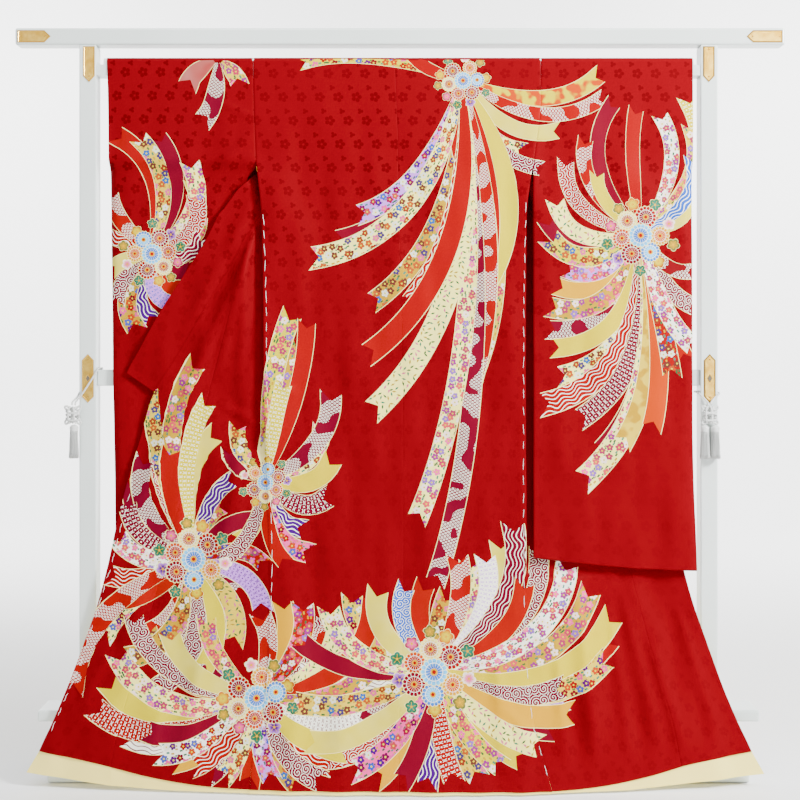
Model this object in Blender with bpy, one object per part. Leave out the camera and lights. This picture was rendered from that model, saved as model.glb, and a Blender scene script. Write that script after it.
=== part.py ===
"""A furisode kimono shown from its back, laid over the upper rail of a lacquered kimono stand.

Metres, +Z up. X runs across the stand, -Y is the side that shows the back of the garment, and Z = 0 is
the floor under the stand. Every cloth piece is a thin wall made from a middle surface, whose rows are
read off short tables of heights, edges and depths.
"""

import math

import bmesh
import bpy
import numpy as np
from mathutils import Vector

# Cloth and fitting sizes
WALL = 0.0015
GAP = 0.0003
SEAM = 0.00035
BEHIND = 0.0021

# Stand sizes
POST_INNER = 0.6752
POST_WIDTH = 0.038
POST_HALF_DEPTH = 0.0225
POST_TOP = 1.640
BAR_LEFT = -0.857
BAR_RIGHT = 0.864
BAR_HEIGHT = 0.038
BAR_HALF_DEPTH = 0.0215
RAIL_TOP = 1.6113
RAIL_BOTTOM = 1.5725
RAIL_HALF_DEPTH = 0.020
RAIL_EDGE = 0.006
STUB_TOP = 1.5975
STUB_LENGTH = 0.016
MIDDLE_TOP = 0.914
MIDDLE_BOTTOM = 0.878
MIDDLE_FRONT = -0.014
MIDDLE_BACK = 0.020
BOARD_FRONT = -0.048
BOARD_BACK = 0.045
BASE_HALF = 0.7995
BASE_BOTTOM = 0.135
BASE_TOP = 0.1595
FLOOR_HALF = 0.778
FLOOR_TOP = 0.030
FOOT_BACK = 0.300
FOOT_HALF_WIDTH = 0.025
FOOT_TOP = 0.045
WOOD_EDGE = 0.0025

# Height at which the armholes end
ARMHOLE_END = 1.386

for old in list(bpy.data.objects):
    bpy.data.objects.remove(old, do_unlink=True)


def finish(name, colour, roughness, metallic=0.0):
    """A plain Principled material."""
    material = bpy.data.materials.new(name)
    material.use_nodes = True
    shader = material.node_tree.nodes["Principled BSDF"]
    shader.inputs["Base Color"].default_value = (*colour, 1.0)
    shader.inputs["Roughness"].default_value = roughness
    shader.inputs["Metallic"].default_value = metallic
    return material


RED_SILK = finish("red_silk", (0.56, 0.008, 0.018), 0.5)
CREAM_SILK = finish("cream_silk", (0.98, 0.82, 0.49), 0.6)
LACQUER = finish("white_lacquer", (0.92, 0.93, 0.92), 0.25)
GILT = finish("gilt_plate", (0.88, 0.72, 0.30), 0.35, 0.8)
WHITE_CORD = finish("white_cord", (0.90, 0.90, 0.88), 0.7)


def place(name, mesh, material):
    mesh.materials.append(material)
    thing = bpy.data.objects.new(name, mesh)
    bpy.context.scene.collection.objects.link(thing)
    return thing


def from_bmesh(name, shape, material):
    mesh = bpy.data.meshes.new(name)
    shape.to_mesh(mesh)
    shape.free()
    return place(name, mesh, material)


def read(table, column, at):
    """A table's column read smoothly at a height, on a curve through its rows that never overshoots."""
    keys = [-row[0] for row in table]
    values = [row[column] for row in table]
    at = min(max(-at, keys[0]), keys[-1])
    i = min(max(int(np.searchsorted(keys, at)) - 1, 0), len(keys) - 2)
    slopes = [(values[k + 1] - values[k]) / (keys[k + 1] - keys[k]) for k in range(len(keys) - 1)]

    def lean(k):
        if k == 0 or k == len(keys) - 1:
            return slopes[min(k, len(slopes) - 1)]
        before, after = slopes[k - 1], slopes[k]
        if before * after <= 0:
            return 0.0
        return 2 * before * after / (before + after)

    width = keys[i + 1] - keys[i]
    t = (at - keys[i]) / width
    rise = (2 * t**3 - 3 * t**2 + 1) * values[i] + (3 * t**2 - 2 * t**3) * values[i + 1]
    return rise + width * ((t**3 - 2 * t**2 + t) * lean(i) + (t**3 - t**2) * lean(i + 1))


def cloth(name, rows, material, ring=False, extra=()):
    """A cloth wall from the rows of points of its middle surface; extra faces join row and column places."""
    shape = bmesh.new()
    grid = [[shape.verts.new(p) for p in row] for row in rows]
    rounds = len(grid) if ring else len(grid) - 1
    for i in range(rounds):
        here, after = grid[i], grid[(i + 1) % len(grid)]
        for j in range(len(here) - 1):
            shape.faces.new((here[j], here[j + 1], after[j + 1], after[j]))
    for places in extra:
        shape.faces.new([grid[i][j] for i, j in places])
    bmesh.ops.recalc_face_normals(shape, faces=shape.faces)
    thing = from_bmesh(name, shape, material)
    wall = thing.modifiers.new("wall", "SOLIDIFY")
    wall.thickness = WALL
    wall.offset = 0.0
    wall.use_even_offset = True
    return thing


# Back panels: height, depth, left edge, centre seam, right edge, left swell, right swell
BACK = (
    (1.6053, -0.02105, -0.325, -0.008, 0.318, 0.000, 0.000),
    (1.5170, -0.0240, -0.323, -0.005, 0.318, 0.000, 0.000),
    (1.4050, -0.0278, -0.318, -0.001, 0.305, 0.000, 0.000),
    (1.3860, -0.0285, -0.317, -0.001, 0.302, 0.002, 0.000),
    (1.3310, -0.0300, -0.311, 0.000, 0.293, 0.012, 0.003),
    (1.2600, -0.0325, -0.304, 0.002, 0.285, 0.014, 0.006),
    (1.0700, -0.0370, -0.299, 0.006, 0.283, 0.013, 0.006),
    (0.8920, -0.0415, -0.297, 0.009, 0.282, 0.012, 0.006),
    (0.7260, -0.0460, -0.292, 0.011, 0.282, 0.011, 0.006),
    (0.4940, -0.0540, -0.284, 0.011, 0.281, 0.009, 0.005),
    (0.3200, -0.0640, -0.286, 0.009, 0.283, 0.007, 0.004),
    (0.2150, -0.0740, -0.291, 0.005, 0.287, 0.005, 0.004),
    (0.1330, -0.0880, -0.303, 0.001, 0.299, 0.003, 0.003),
    (0.0650, -0.1080, -0.318, 0.000, 0.317, 0.001, 0.001),
    (0.0120, -0.1320, -0.321, 0.001, 0.331, 0.000, 0.000),
)
DEPTH, LEFT, CENTRE, RIGHT, LEFT_SWELL, RIGHT_SWELL = 1, 2, 3, 4, 5, 6
SWELL_REACH = 0.13
BACK_HEIGHTS = (1.56, 1.50, 1.44, 1.386, 1.35, 1.31, 1.262, 1.19, 1.10, 1.00, 0.90, 0.80, 0.70,
                0.60, 0.50, 0.41, 0.33, 0.26, 0.20, 0.15, 0.11, 0.075, 0.045)

# Soft flutes that open towards the hem: place across at the hem, half width, height
FLUTES = (
    (-0.235, 0.032, 0.0050),
    (-0.130, 0.040, 0.0065),
    (-0.030, 0.030, 0.0040),
    (0.075, 0.045, 0.0070),
    (0.170, 0.032, 0.0050),
    (0.262, 0.030, 0.0060),
)
FLUTE_TOP = 0.95

# Lower edge of the red cloth and of its cream lining: place across, depth, height of each
HEM = (
    (-0.788, -0.0780, 0.0790, 0.0320),
    (-0.628, -0.0980, 0.0513, 0.0105),
    (-0.492, -0.1120, 0.0211, 0.0036),
    (-0.321, -0.1280, 0.0113, 0.0028),
    (-0.200, -0.1330, 0.0105, 0.0026),
    (0.001, -0.1350, 0.0100, 0.0024),
    (0.200, -0.1340, 0.0082, 0.0024),
    (0.331, -0.1290, 0.0074, 0.0026),
    (0.500, -0.1120, 0.0180, 0.0040),
    (0.618, -0.0970, 0.0380, 0.0130),
    (0.774, -0.0780, 0.0585, 0.0295),
)
LINING_RISE = 0.045
LINING_OUT = 0.028
LINING_STEP = 0.0024


def hem(x, column):
    return float(np.interp(x, [row[0] for row in HEM], [row[column] for row in HEM]))


def ease(t):
    t = min(max(t, 0.0), 1.0)
    return t * t * (3 - 2 * t)


def flute(x, z):
    """How far the flutes bring the back towards -Y."""
    grown = ease((FLUTE_TOP - z) / FLUTE_TOP) ** 1.5
    return grown * sum(h * math.exp(-(((x - at) / half) ** 2)) for at, half, h in FLUTES)


def back_depth(x, z):
    """The depth of the back panels' middle surface."""
    left, right = read(BACK, LEFT, z), read(BACK, RIGHT, z)
    swell = read(BACK, LEFT_SWELL, z) * ease(1 - (x - left) / SWELL_REACH)
    swell += read(BACK, RIGHT_SWELL, z) * ease(1 - (right - x) / SWELL_REACH)
    return read(BACK, DEPTH, z) - swell - flute(x, z)


def over_rail(steps=4):
    """Depth and height along the fold over the upper rail, from its rear edge to its front edge."""
    radius = RAIL_EDGE + GAP + WALL / 2
    middle, height = RAIL_HALF_DEPTH - RAIL_EDGE, RAIL_TOP - RAIL_EDGE
    turns = [i / steps * math.pi / 2 for i in range(steps + 1)]
    rear = [(middle + radius * math.cos(a), height + radius * math.sin(a)) for a in turns]
    front = [(-middle - radius * math.sin(a), height + radius * math.cos(a)) for a in turns]
    return rear + front


def across(first, last, count):
    return [first + (last - first) * i / (count - 1) for i in range(count)]


def back_panel(name, inner_gap, columns=11, seam_side=1):
    """One back panel, from the rear of the fold over the rail to the hem. seam_side is 1 left, -1 right."""
    edge = LEFT if seam_side == 1 else RIGHT
    rows = []
    top = over_rail()
    start = read(BACK, edge, RAIL_TOP)
    for y, z in top:
        ends = (start, read(BACK, CENTRE, RAIL_TOP) - seam_side * inner_gap)
        rows.append([Vector((x, y, z)) for x in across(*ends, columns)])
    for z in BACK_HEIGHTS:
        ends = (read(BACK, edge, z), read(BACK, CENTRE, z) - seam_side * inner_gap)
        rows.append([Vector((x, back_depth(x, z), z)) for x in across(*ends, columns)])
    ends = (read(BACK, edge, 0.0), read(BACK, CENTRE, 0.0) - seam_side * inner_gap)
    rows.append([Vector((x, hem(x, 1) - flute(x, 0.01), hem(x, 2))) for x in across(*ends, columns)])
    return cloth(name, rows, RED_SILK), rows


# Sleeves: height, front depth, rear depth, inner edge, outer edge, all as distances on its own side
SLEEVE_LEFT = (
    (1.6053, -0.02105, 0.02105, -0.325, -0.6515),
    (1.5700, -0.0222, 0.0213, -0.325, -0.650),
    (1.5000, -0.0245, 0.0150, -0.3225, -0.648),
    (1.3860, -0.0305, 0.0060, -0.317, -0.646),
    (1.3550, -0.0200, 0.0030, -0.333, -0.645),
    (1.3000, -0.0170, -0.0010, -0.343, -0.644),
    (1.1500, -0.0190, -0.0060, -0.343, -0.641),
    (0.9500, -0.0265, -0.0153, -0.340, -0.6375),
    (0.7000, -0.0270, -0.0158, -0.336, -0.633),
    (0.4600, -0.0270, -0.0160, -0.336, -0.630),
)
SLEEVE_RIGHT = (
    (1.6053, -0.02105, 0.02105, 0.318, 0.6573),
    (1.5700, -0.0222, 0.0213, 0.318, 0.6573),
    (1.5000, -0.0245, 0.0150, 0.318, 0.6570),
    (1.3860, -0.0285, 0.0030, 0.302, 0.6560),
    (1.3550, -0.0310, 0.0010, 0.301, 0.6555),
    (1.3000, -0.0340, -0.0040, 0.300, 0.6550),
    (1.1000, -0.0370, -0.0150, 0.300, 0.6545),
    (0.9200, -0.0385, -0.0230, 0.300, 0.6535),
    (0.7000, -0.0420, -0.0265, 0.300, 0.6560),
    (0.4600, -0.0470, -0.0330, 0.299, 0.6625),
)
SLEEVE_HEIGHTS = (1.56, 1.50, 1.44, ARMHOLE_END, 1.355, 1.32, 1.27, 1.20, 1.10, 0.98, 0.86, 0.74, 0.62)
SLEEVE_LIFTS = (0.055, 0.020)
SLEEVE_BOTTOM_INNER = 0.4975
SLEEVE_BOTTOM_OUTER = 0.4685
SLEEVE_BOTTOM_BEND = 0.55
ARM_SIDE, HAND_SIDE = 3, 4


SLEEVES = {-1: SLEEVE_LEFT, 1: SLEEVE_RIGHT}


def back_edge(side, z):
    return read(BACK, LEFT if side == -1 else RIGHT, z)


def arm_edge(side, z):
    """A sleeve's edge on the body's side: along the armhole seam, and free below it."""
    if z >= ARMHOLE_END:
        return back_edge(side, z) + side * SEAM
    return read(SLEEVES[side], ARM_SIDE, z) + side * SEAM


def sheet_depth(side, column, z):
    """The depth of a sleeve's front sheet (column 1) or rear sheet (column 2)."""
    if column == 1 and z >= ARMHOLE_END:
        return back_depth(back_edge(side, z), z)
    return read(SLEEVES[side], column, z)


def sleeve(name, side, columns=9):
    """A hanging sleeve: a flat bag folded over the rail and at its bottom, open towards the body and,
    above the armhole's height, at the hand. side is -1 left, 1 right."""
    table = SLEEVES[side]
    loops = []
    shares = [i / (columns - 1) for i in range(columns)]

    def bottom(t):
        bent = 1 - (1 - t) ** (1 / SLEEVE_BOTTOM_BEND)
        return SLEEVE_BOTTOM_INNER + (SLEEVE_BOTTOM_OUTER - SLEEVE_BOTTOM_INNER) * bent

    def at(t, y, z):
        inner, outer = arm_edge(side, z), read(table, HAND_SIDE, z)
        return Vector((inner + (outer - inner) * t, y, z))

    def lifted(lift, column):
        return [at(t, sheet_depth(side, column, bottom(t) + lift), bottom(t) + lift) for t in shares]

    for y, z in over_rail():
        loops.append([at(t, y, z) for t in shares])
    for z in SLEEVE_HEIGHTS:
        loops.append([at(t, sheet_depth(side, 1, z), z) for t in shares])
    loops += [lifted(lift, 1) for lift in SLEEVE_LIFTS]
    front_edge, rear_edge = lifted(0.003, 1), lifted(0.003, 2)
    loops.append(front_edge)
    loops.append([(a + b) / 2 - Vector((0, 0, 0.003)) for a, b in zip(front_edge, rear_edge)])
    loops.append(rear_edge)
    loops += [lifted(lift, 2) for lift in reversed(SLEEVE_LIFTS)]
    for z in reversed(SLEEVE_HEIGHTS):
        loops.append([at(t, sheet_depth(side, 2, z), z) for t in shares])
    first = len(over_rail())
    wrist = first + SLEEVE_HEIGHTS.index(ARMHOLE_END)
    low, high = wrist, len(loops) - 1 - (wrist - first)
    hand = columns - 1
    extra = []
    while high - low > 2:
        extra.append(((low, hand), (low + 1, hand), (high - 1, hand), (high, hand)))
        low, high = low + 1, high - 1
    extra.append(((low, hand), (low + 1, hand), (high, hand)))
    return cloth(name, loops, RED_SILK, ring=True, extra=extra)


# Front panels, by rows from the shoulder to the hem: height at the side, how far the side edge has come
# from the sleeve's rear to the back panel's edge, distance out and height of the front seam, its depth on
# the left and on the right, depth of the tuck behind the back's edge, rearward bow
FRONT = (
    (1.6046, 0.00, 0.088, 1.6046, 0.0212, 0.0212, 0.000, 0.000),
    (1.5700, 0.00, 0.112, 1.5720, 0.0240, 0.0240, 0.000, 0.002),
    (1.5200, 0.00, 0.146, 1.5300, 0.0320, 0.0320, 0.000, 0.006),
    (1.4700, 0.00, 0.182, 1.4830, 0.0400, 0.0400, 0.000, 0.012),
    (1.4250, 0.00, 0.222, 1.4320, 0.0420, 0.0460, 0.000, 0.012),
    (1.3860, 0.00, 0.256, 1.3850, 0.0320, 0.0430, 0.000, 0.006),
    (1.3450, 0.92, 0.279, 1.3400, 0.0100, 0.0360, 0.000, 0.001),
    (1.3050, 1.00, 0.294, 1.3010, -0.0120, 0.0270, 0.000, 0.000),
    (1.2620, 1.00, 0.306, 1.2620, -0.0275, 0.0160, 0.010, 0.000),
    (1.2150, 1.00, 0.330, 1.2200, -0.0310, 0.0080, 0.050, 0.004),
    (1.1000, 1.00, 0.361, 1.1000, -0.0365, -0.0040, 0.095, 0.004),
    (0.9500, 1.00, 0.400, 0.9500, -0.0385, -0.0158, 0.100, 0.001),
    (0.8000, 1.00, 0.439, 0.8000, -0.0395, -0.0172, 0.074, 0.004),
    (0.6500, 1.00, 0.4785, 0.6500, -0.0410, -0.0190, 0.000, 0.010),
    (0.5000, 1.00, 0.518, 0.5000, -0.0430, -0.0220, 0.000, 0.006),
    (0.3800, 1.00, 0.549, 0.3800, -0.0465, -0.0300, 0.000, 0.002),
    (0.2800, 1.00, 0.5735, 0.2830, -0.0530, -0.0440, 0.000, 0.000),
    (0.1900, 1.00, 0.596, 0.2000, -0.0640, -0.0590, 0.000, 0.000),
    (0.1100, 1.00, 0.615, 0.1300, -0.0790, -0.0750, 0.000, 0.000),
    (0.0113, 1.00, 0.628, 0.0513, -0.0980, -0.0970, 0.000, 0.000),
)
MIX, FRONT_X, FRONT_Z, DEEP_LEFT, DEEP_RIGHT, TUCK, BOW = 1, 2, 3, 4, 5, 6, 7
FRONT_HEIGHTS = (1.6046, 1.575, 1.54, 1.505, 1.47, 1.435, 1.405, 1.386, 1.36, 1.335, 1.31, 1.285, 1.262,
                 1.238, 1.2145, 1.16, 1.08, 0.99, 0.90, 0.82, 0.74, 0.68, 0.62, 0.55, 0.47, 0.39, 0.32,
                 0.26, 0.20, 0.15, 0.11, 0.075, 0.045, 0.0113)
KENSAKI_ROW = 14
COLLAR_END_ROW = 19
RIGHT_REACH = 0.982
FULL_TUCK = 0.05
TURN = {-1: 0.016, 1: 0.0}
FINE = 80
LAP = 0.004
SLEEVE_CLEAR = 0.0035
BESIDE_BELOW = 0.11

# Broad folds of the spread fronts, drawn from the left armhole or opening towards the hem: place across and
# height at both ends, half width, rise
FOLDS = (
    (-0.330, 1.170, -0.372, 0.860, 0.020, 0.0050),
    (-0.372, 1.080, -0.545, 0.640, 0.028, 0.0050),
    (-0.325, 0.800, -0.430, 0.380, 0.026, 0.0050),
    (-0.560, 0.460, -0.660, 0.120, 0.026, 0.0060),
    (-0.400, 0.380, -0.450, 0.080, 0.028, 0.0060),
    (0.385, 0.430, 0.430, 0.070, 0.028, 0.0060),
    (0.530, 0.430, 0.630, 0.100, 0.026, 0.0060),
)
FOLD_START = 0.035

# Overlap panels and collar, by the same rows from the kensaki down: height at the side, distance out and
# height of the outer edge, its depth on the left and on the right
OKUMI = (
    (1.2145, 0.3365, 1.2190, -0.0314, 0.0085),
    (1.1600, 0.3610, 1.1690, -0.0345, 0.0020),
    (1.0800, 0.4080, 1.0890, -0.0360, -0.0060),
    (0.9900, 0.4590, 1.0020, -0.0375, -0.0145),
    (0.9000, 0.5080, 0.9200, -0.0380, -0.0158),
    (0.8200, 0.5430, 0.8650, -0.0380, -0.0165),
    (0.7300, 0.5760, 0.7550, -0.0375, -0.0175),
    (0.6400, 0.6060, 0.6500, -0.0375, -0.0190),
    (0.5500, 0.6290, 0.5560, -0.0380, -0.0205),
    (0.4700, 0.6470, 0.4740, -0.0395, -0.0245),
    (0.3900, 0.6680, 0.3930, -0.0430, -0.0330),
    (0.3200, 0.6915, 0.3240, -0.0470, -0.0410),
    (0.2600, 0.7120, 0.2660, -0.0520, -0.0470),
    (0.2000, 0.7320, 0.2100, -0.0575, -0.0540),
    (0.1550, 0.7490, 0.1680, -0.0625, -0.0600),
    (0.1100, 0.7650, 0.1300, -0.0680, -0.0660),
    (0.0600, 0.7780, 0.1020, -0.0735, -0.0730),
    (0.0113, 0.7880, 0.0790, -0.0780, -0.0780),
)

# The collar's free edge, measured from its seam, by the front panel's rows from the collar's end up to the
# shoulder: out, towards +Y on the left and on the right, up. It lies up and out on the spread front, and
# turns inwards on its way to the neck.
COLLAR_FREE = (
    (1.6046, -0.022, 0.004, 0.004, -0.078),
    (1.5750, -0.036, 0.012, 0.012, -0.068),
    (1.5050, -0.038, 0.020, 0.020, -0.050),
    (1.4350, -0.034, 0.024, 0.024, -0.030),
    (1.3860, -0.016, 0.030, 0.030, 0.006),
    (1.3600, -0.002, 0.032, 0.032, 0.032),
    (1.3350, 0.010, 0.029, 0.029, 0.048),
    (1.3100, 0.018, 0.024, 0.024, 0.062),
    (1.2850, 0.036, -0.008, 0.006, 0.056),
    (1.2620, 0.058, -0.004, 0.000, 0.050),
    (1.2145, 0.064, -0.001, 0.000, 0.046),
    (1.1600, 0.064, 0.000, 0.000, 0.045),
    (1.0800, 0.069, 0.000, 0.000, 0.041),
    (0.9900, 0.073, 0.000, 0.000, 0.041),
    (0.9000, 0.069, 0.000, 0.000, 0.041),
    (0.8200, 0.062, 0.000, 0.000, 0.043),
)
NECK_STEPS = 6
NECK_HANG = 0.078


def on_back_edge(side, z):
    """A point of the side seam: just behind the back panel's edge, and beside it near the hem."""
    lapped = ease((z - BESIDE_BELOW) / 0.09)
    inset = ease((z - BESIDE_BELOW - 0.10) / 0.10)
    x = back_edge(side, z) - side * (LAP * inset - SEAM * (1 - inset))
    if z < 0.02:
        return Vector((x, hem(x, 1) - flute(x, 0.01), hem(x, 2)))
    return Vector((x, back_depth(x, z) + BEHIND * lapped, z))


def folded(side, row):
    """The row with its part beyond the back panel brought towards -Y by the folds that cross it."""
    moved = []
    for point in row:
        shown = ease(side * (point.x - back_edge(side, point.z)) / FOLD_START)
        rise = 0.0
        for x1, z1, x2, z2, half, height in FOLDS:
            run, fall = x2 - x1, z2 - z1
            length = math.hypot(run, fall)
            along = ((point.x - x1) * run + (point.z - z1) * fall) / length**2
            aside = ((point.x - x1) * fall - (point.z - z1) * run) / length
            ends = ease((along + 0.15) / 0.4) * ease((1.15 - along) / 0.4)
            rise += height * ends * math.exp(-((aside / half) ** 2))
        moved.append(point - Vector((0, shown * rise, 0)))
    return moved


def front_row(side, z, count):
    """One row of a front panel, with its folds."""
    return folded(side, flat_row(side, z, count))


def flat_row(side, z, count):
    """One row of a front panel, from its side edge to its front seam, as points of a cubic curve."""
    reach = 1.0 if side == -1 else 1.0 - (1.0 - RIGHT_REACH) * ease((1.3 - z) / 0.3)
    arm = Vector((arm_edge(side, z) - side * 3 * SEAM, sheet_depth(side, 2, z), z))
    mix = read(FRONT, MIX, z)
    a = arm.lerp(on_back_edge(side, z), mix)
    deep = DEEP_LEFT if side == -1 else DEEP_RIGHT
    b = Vector((side * reach * read(FRONT, FRONT_X, z), read(FRONT, deep, z), read(FRONT, FRONT_Z, z)))
    tuck = read(FRONT, TUCK, z)
    full = min(1.0, tuck / FULL_TUCK)
    inward = Vector((-side * tuck, 0, 0))
    m1 = a.lerp(b, (1 - full) / 3) + inward
    m2 = a.lerp(b, 2 / 3 * (1 - full)) + inward
    m2.y = a.y + (b.y - a.y) * (1 - (1 - full) / 3) + TURN[side] * ease(2 * full - 1)
    bow = read(FRONT, BOW, z)
    m1.y += bow
    m2.y += bow
    sag = -0.014 * ease((0.30 - z) / 0.30)
    m1.z += sag
    m2.z += sag
    fine = []
    for i in range(FINE + 1):
        t = i / FINE
        s = 1 - t
        point = a * s**3 + m1 * 3 * s * s * t + m2 * 3 * s * t * t + b * t**3
        fine.append(clear_of_others(side, point))
    even = 0.4
    if side == 1:
        even += 0.5 * max(ease((0.84 - z) / 0.06), ease((z - 1.15) / 0.08))
    return spread(fine, count, even)


def spread(fine, count, evenness):
    """Points along a finely drawn row, spaced by its length where evenness is 1 and by its steps at 0."""
    lengths = [(q - p).length for p, q in zip(fine, fine[1:])]
    total = sum(lengths)
    marks = [0.0]
    for length in lengths:
        marks.append(marks[-1] + evenness * length / total + (1 - evenness) / len(lengths))
    wanted = [i / (count - 1) * marks[-1] for i in range(count)]
    columns = [np.interp(wanted, marks, [p[k] for p in fine]) for k in range(3)]
    return [Vector([float(column[i]) for column in columns]) for i in range(count)]


def clear_of_others(side, point):
    """The point, moved in depth where it would lie within the back panel or the sleeve beside it."""
    z = point.z
    if side * (point.x - back_edge(side, z)) < -SEAM and BESIDE_BELOW + 0.1 < z < RAIL_BOTTOM:
        point.y = max(point.y, back_depth(point.x, z) + BEHIND)
    if SLEEVE_BOTTOM_OUTER - 0.01 < z < ARMHOLE_END - 0.05:
        beside = ease((side * (point.x - arm_edge(side, z)) + 0.021) / 0.007)
        if side == -1:
            point.y += beside * min(0.0, sheet_depth(side, 1, z) - SLEEVE_CLEAR - point.y)
        else:
            point.y += beside * max(0.0, sheet_depth(side, 2, z) + 1.3 * SLEEVE_CLEAR - point.y)
    return point


def outer_edge(side, z):
    """The outer edge of an overlap panel."""
    reach = 1.0 if side == -1 else RIGHT_REACH
    deep = 3 if side == -1 else 4
    return Vector((side * reach * read(OKUMI, 1, z), read(OKUMI, deep, z), read(OKUMI, 2, z)))


def apart(row, start, end):
    """The row with its first and last points drawn in along it, by the seam's clearance."""
    first, last = row[1] - row[0], row[-2] - row[-1]
    row[0] = row[0] + first.normalized() * start
    row[-1] = row[-1] + last.normalized() * end
    return row


def front_panel(name, side, columns=15):
    rows = [apart(front_row(side, z, columns), 0.0, SEAM / 2) for z in FRONT_HEIGHTS]
    return cloth(name, rows, RED_SILK), rows


def okumi_row(side, z, columns):
    near = flat_row(side, z, 24)
    seam, before = near[-1], near[-2]
    edge = outer_edge(side, z)
    lead = (seam - before).normalized() * (edge - seam).length / 3
    m1 = (seam + lead).lerp(seam.lerp(edge, 1 / 3), 0.5)
    m2 = seam.lerp(edge, 2 / 3)
    row = []
    for i in range(columns):
        t = i / (columns - 1)
        s = 1 - t
        row.append(seam * s**3 + m1 * 3 * s * s * t + m2 * 3 * s * t * t + edge * t**3)
    return folded(side, row)


def okumi_panel(name, side, columns=6):
    heights = FRONT_HEIGHTS[KENSAKI_ROW:]
    rows = [apart(okumi_row(side, z, columns), SEAM / 2, 0.0) for z in heights]
    return cloth(name, rows, RED_SILK), rows


def collar_rows(side, columns=4):
    """The collar's rows from its end on one overlap panel up to the neck."""
    rows = []
    for k in range(COLLAR_END_ROW, -1, -1):
        z = FRONT_HEIGHTS[k]
        below = okumi_row(side, z, 6) if k >= KENSAKI_ROW else front_row(side, z, 24)
        seam = below[-1]
        free = Vector([read(COLLAR_FREE, c, z) for c in (1, 2 if side == -1 else 3, 4)])
        free.x *= side
        turn = (seam - below[-2]).angle(free, 0.0)
        higher, lower = [front_row(side, FRONT_HEIGHTS[n], 2)[-1] for n in (max(k - 1, 0), k + 1)]
        slant = max(0.3, math.sin((higher - lower).angle(free)))
        start = seam + free.normalized() * (SEAM + WALL * 1.5 * math.tan(min(turn, 2.4) / 2)) / slant
        rows.append([start + free * i / (columns - 1) for i in range(columns)])
    return rows


def collar(name):
    left, right = collar_rows(-1), collar_rows(1)
    neck = []
    low, high = left[-1], right[-1]
    for i in range(1, NECK_STEPS):
        t = i / NECK_STEPS
        row = [a.lerp(b, t) for a, b in zip(low, high)]
        drop = NECK_HANG * math.sin(math.pi * t) * 0.04
        neck.append([p + Vector((0, 0.001, -drop)) * (j / 3) for j, p in enumerate(row)])
    rows = left + neck + right[::-1]
    return cloth(name, rows, RED_SILK)


def lining(name, top_row, hem_row, steps_out=0.0, side=0):
    """A strip of cream lining behind a panel's hem: from behind the cloth to its own lower edge."""
    back = Vector((0, LINING_STEP, 0))
    rows = [[], [], []]
    for i, (above, edge) in enumerate(zip(top_row, hem_row)):
        share = i / (len(hem_row) - 1)
        up = (above - edge).normalized()
        rows[0].append(edge + up * LINING_RISE + back)
        rows[1].append(edge + back)
        out = side * steps_out * share
        low = Vector((edge.x + out, edge.y + back.y - 0.0006, hem(edge.x, 3)))
        rows[2].append(low)
    return cloth(name, rows, CREAM_SILK)


def trimmed(row, start, end):
    """A row cut back at its ends, so that neighbouring strips of lining stay apart."""
    row = list(row)
    row[0] = row[0] + (row[1] - row[0]).normalized() * start
    row[-1] = row[-1] + (row[-2] - row[-1]).normalized() * end
    return row


def box(name, low, high, material, edge=0.0, segments=2):
    shape = bmesh.new()
    bmesh.ops.create_cube(shape, size=1.0)
    low, high = Vector(low), Vector(high)
    for v in shape.verts:
        v.co = Vector([(low[k] + high[k]) / 2 + v.co[k] * (high[k] - low[k]) for k in range(3)])
    if edge:
        bmesh.ops.bevel(
            shape, geom=shape.edges[:], offset=edge, segments=segments, profile=0.5, affect="EDGES",
            clamp_overlap=True, material=-1,
        )
    return from_bmesh(name, shape, material)


def cut(thing, cutter):
    cutter.hide_render = True
    cutter.display_type = "WIRE"
    step = thing.modifiers.new("slot", "BOOLEAN")
    step.operation = "DIFFERENCE"
    step.solver = "EXACT"
    step.object = cutter


def stand():
    """The lacquered stand, made of straight bars. The posts run through both boards of its base."""
    top = POST_TOP + GAP
    box("top_bar", (BAR_LEFT, -BAR_HALF_DEPTH, top), (BAR_RIGHT, BAR_HALF_DEPTH, top + BAR_HEIGHT),
        LACQUER, 0.005, 3)
    rail()
    inside = POST_INNER - GAP
    box("rail_middle", (-inside, MIDDLE_FRONT, MIDDLE_BOTTOM), (inside, MIDDLE_BACK, MIDDLE_TOP), LACQUER,
        WOOD_EDGE)
    base = box("base_board", (-BASE_HALF, BOARD_FRONT, BASE_BOTTOM), (BASE_HALF, BOARD_BACK, BASE_TOP),
               LACQUER, 0.004)
    floor = box("floor_board", (-FLOOR_HALF, BOARD_FRONT, 0.0), (FLOOR_HALF, BOARD_BACK, FLOOR_TOP),
                LACQUER, 0.004)
    for side, word in ((-1, "left"), (1, "right")):
        ends = sorted((side * POST_INNER, side * (POST_INNER + POST_WIDTH)))
        box(f"post_{word}", (ends[0], -POST_HALF_DEPTH, 0.0), (ends[1], POST_HALF_DEPTH, POST_TOP), LACQUER,
            WOOD_EDGE)
        slot = box(f"slot_{word}", (ends[0] - GAP, -POST_HALF_DEPTH - GAP, -0.01),
                   (ends[1] + GAP, POST_HALF_DEPTH + GAP, 0.2), LACQUER)
        cut(base, slot)
        cut(floor, slot)
        middle = sum(ends) / 2
        box(f"foot_{word}", (middle - FOOT_HALF_WIDTH, BOARD_BACK + GAP, 0.0),
            (middle + FOOT_HALF_WIDTH, FOOT_BACK, FOOT_TOP), LACQUER, 0.004)


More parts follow.
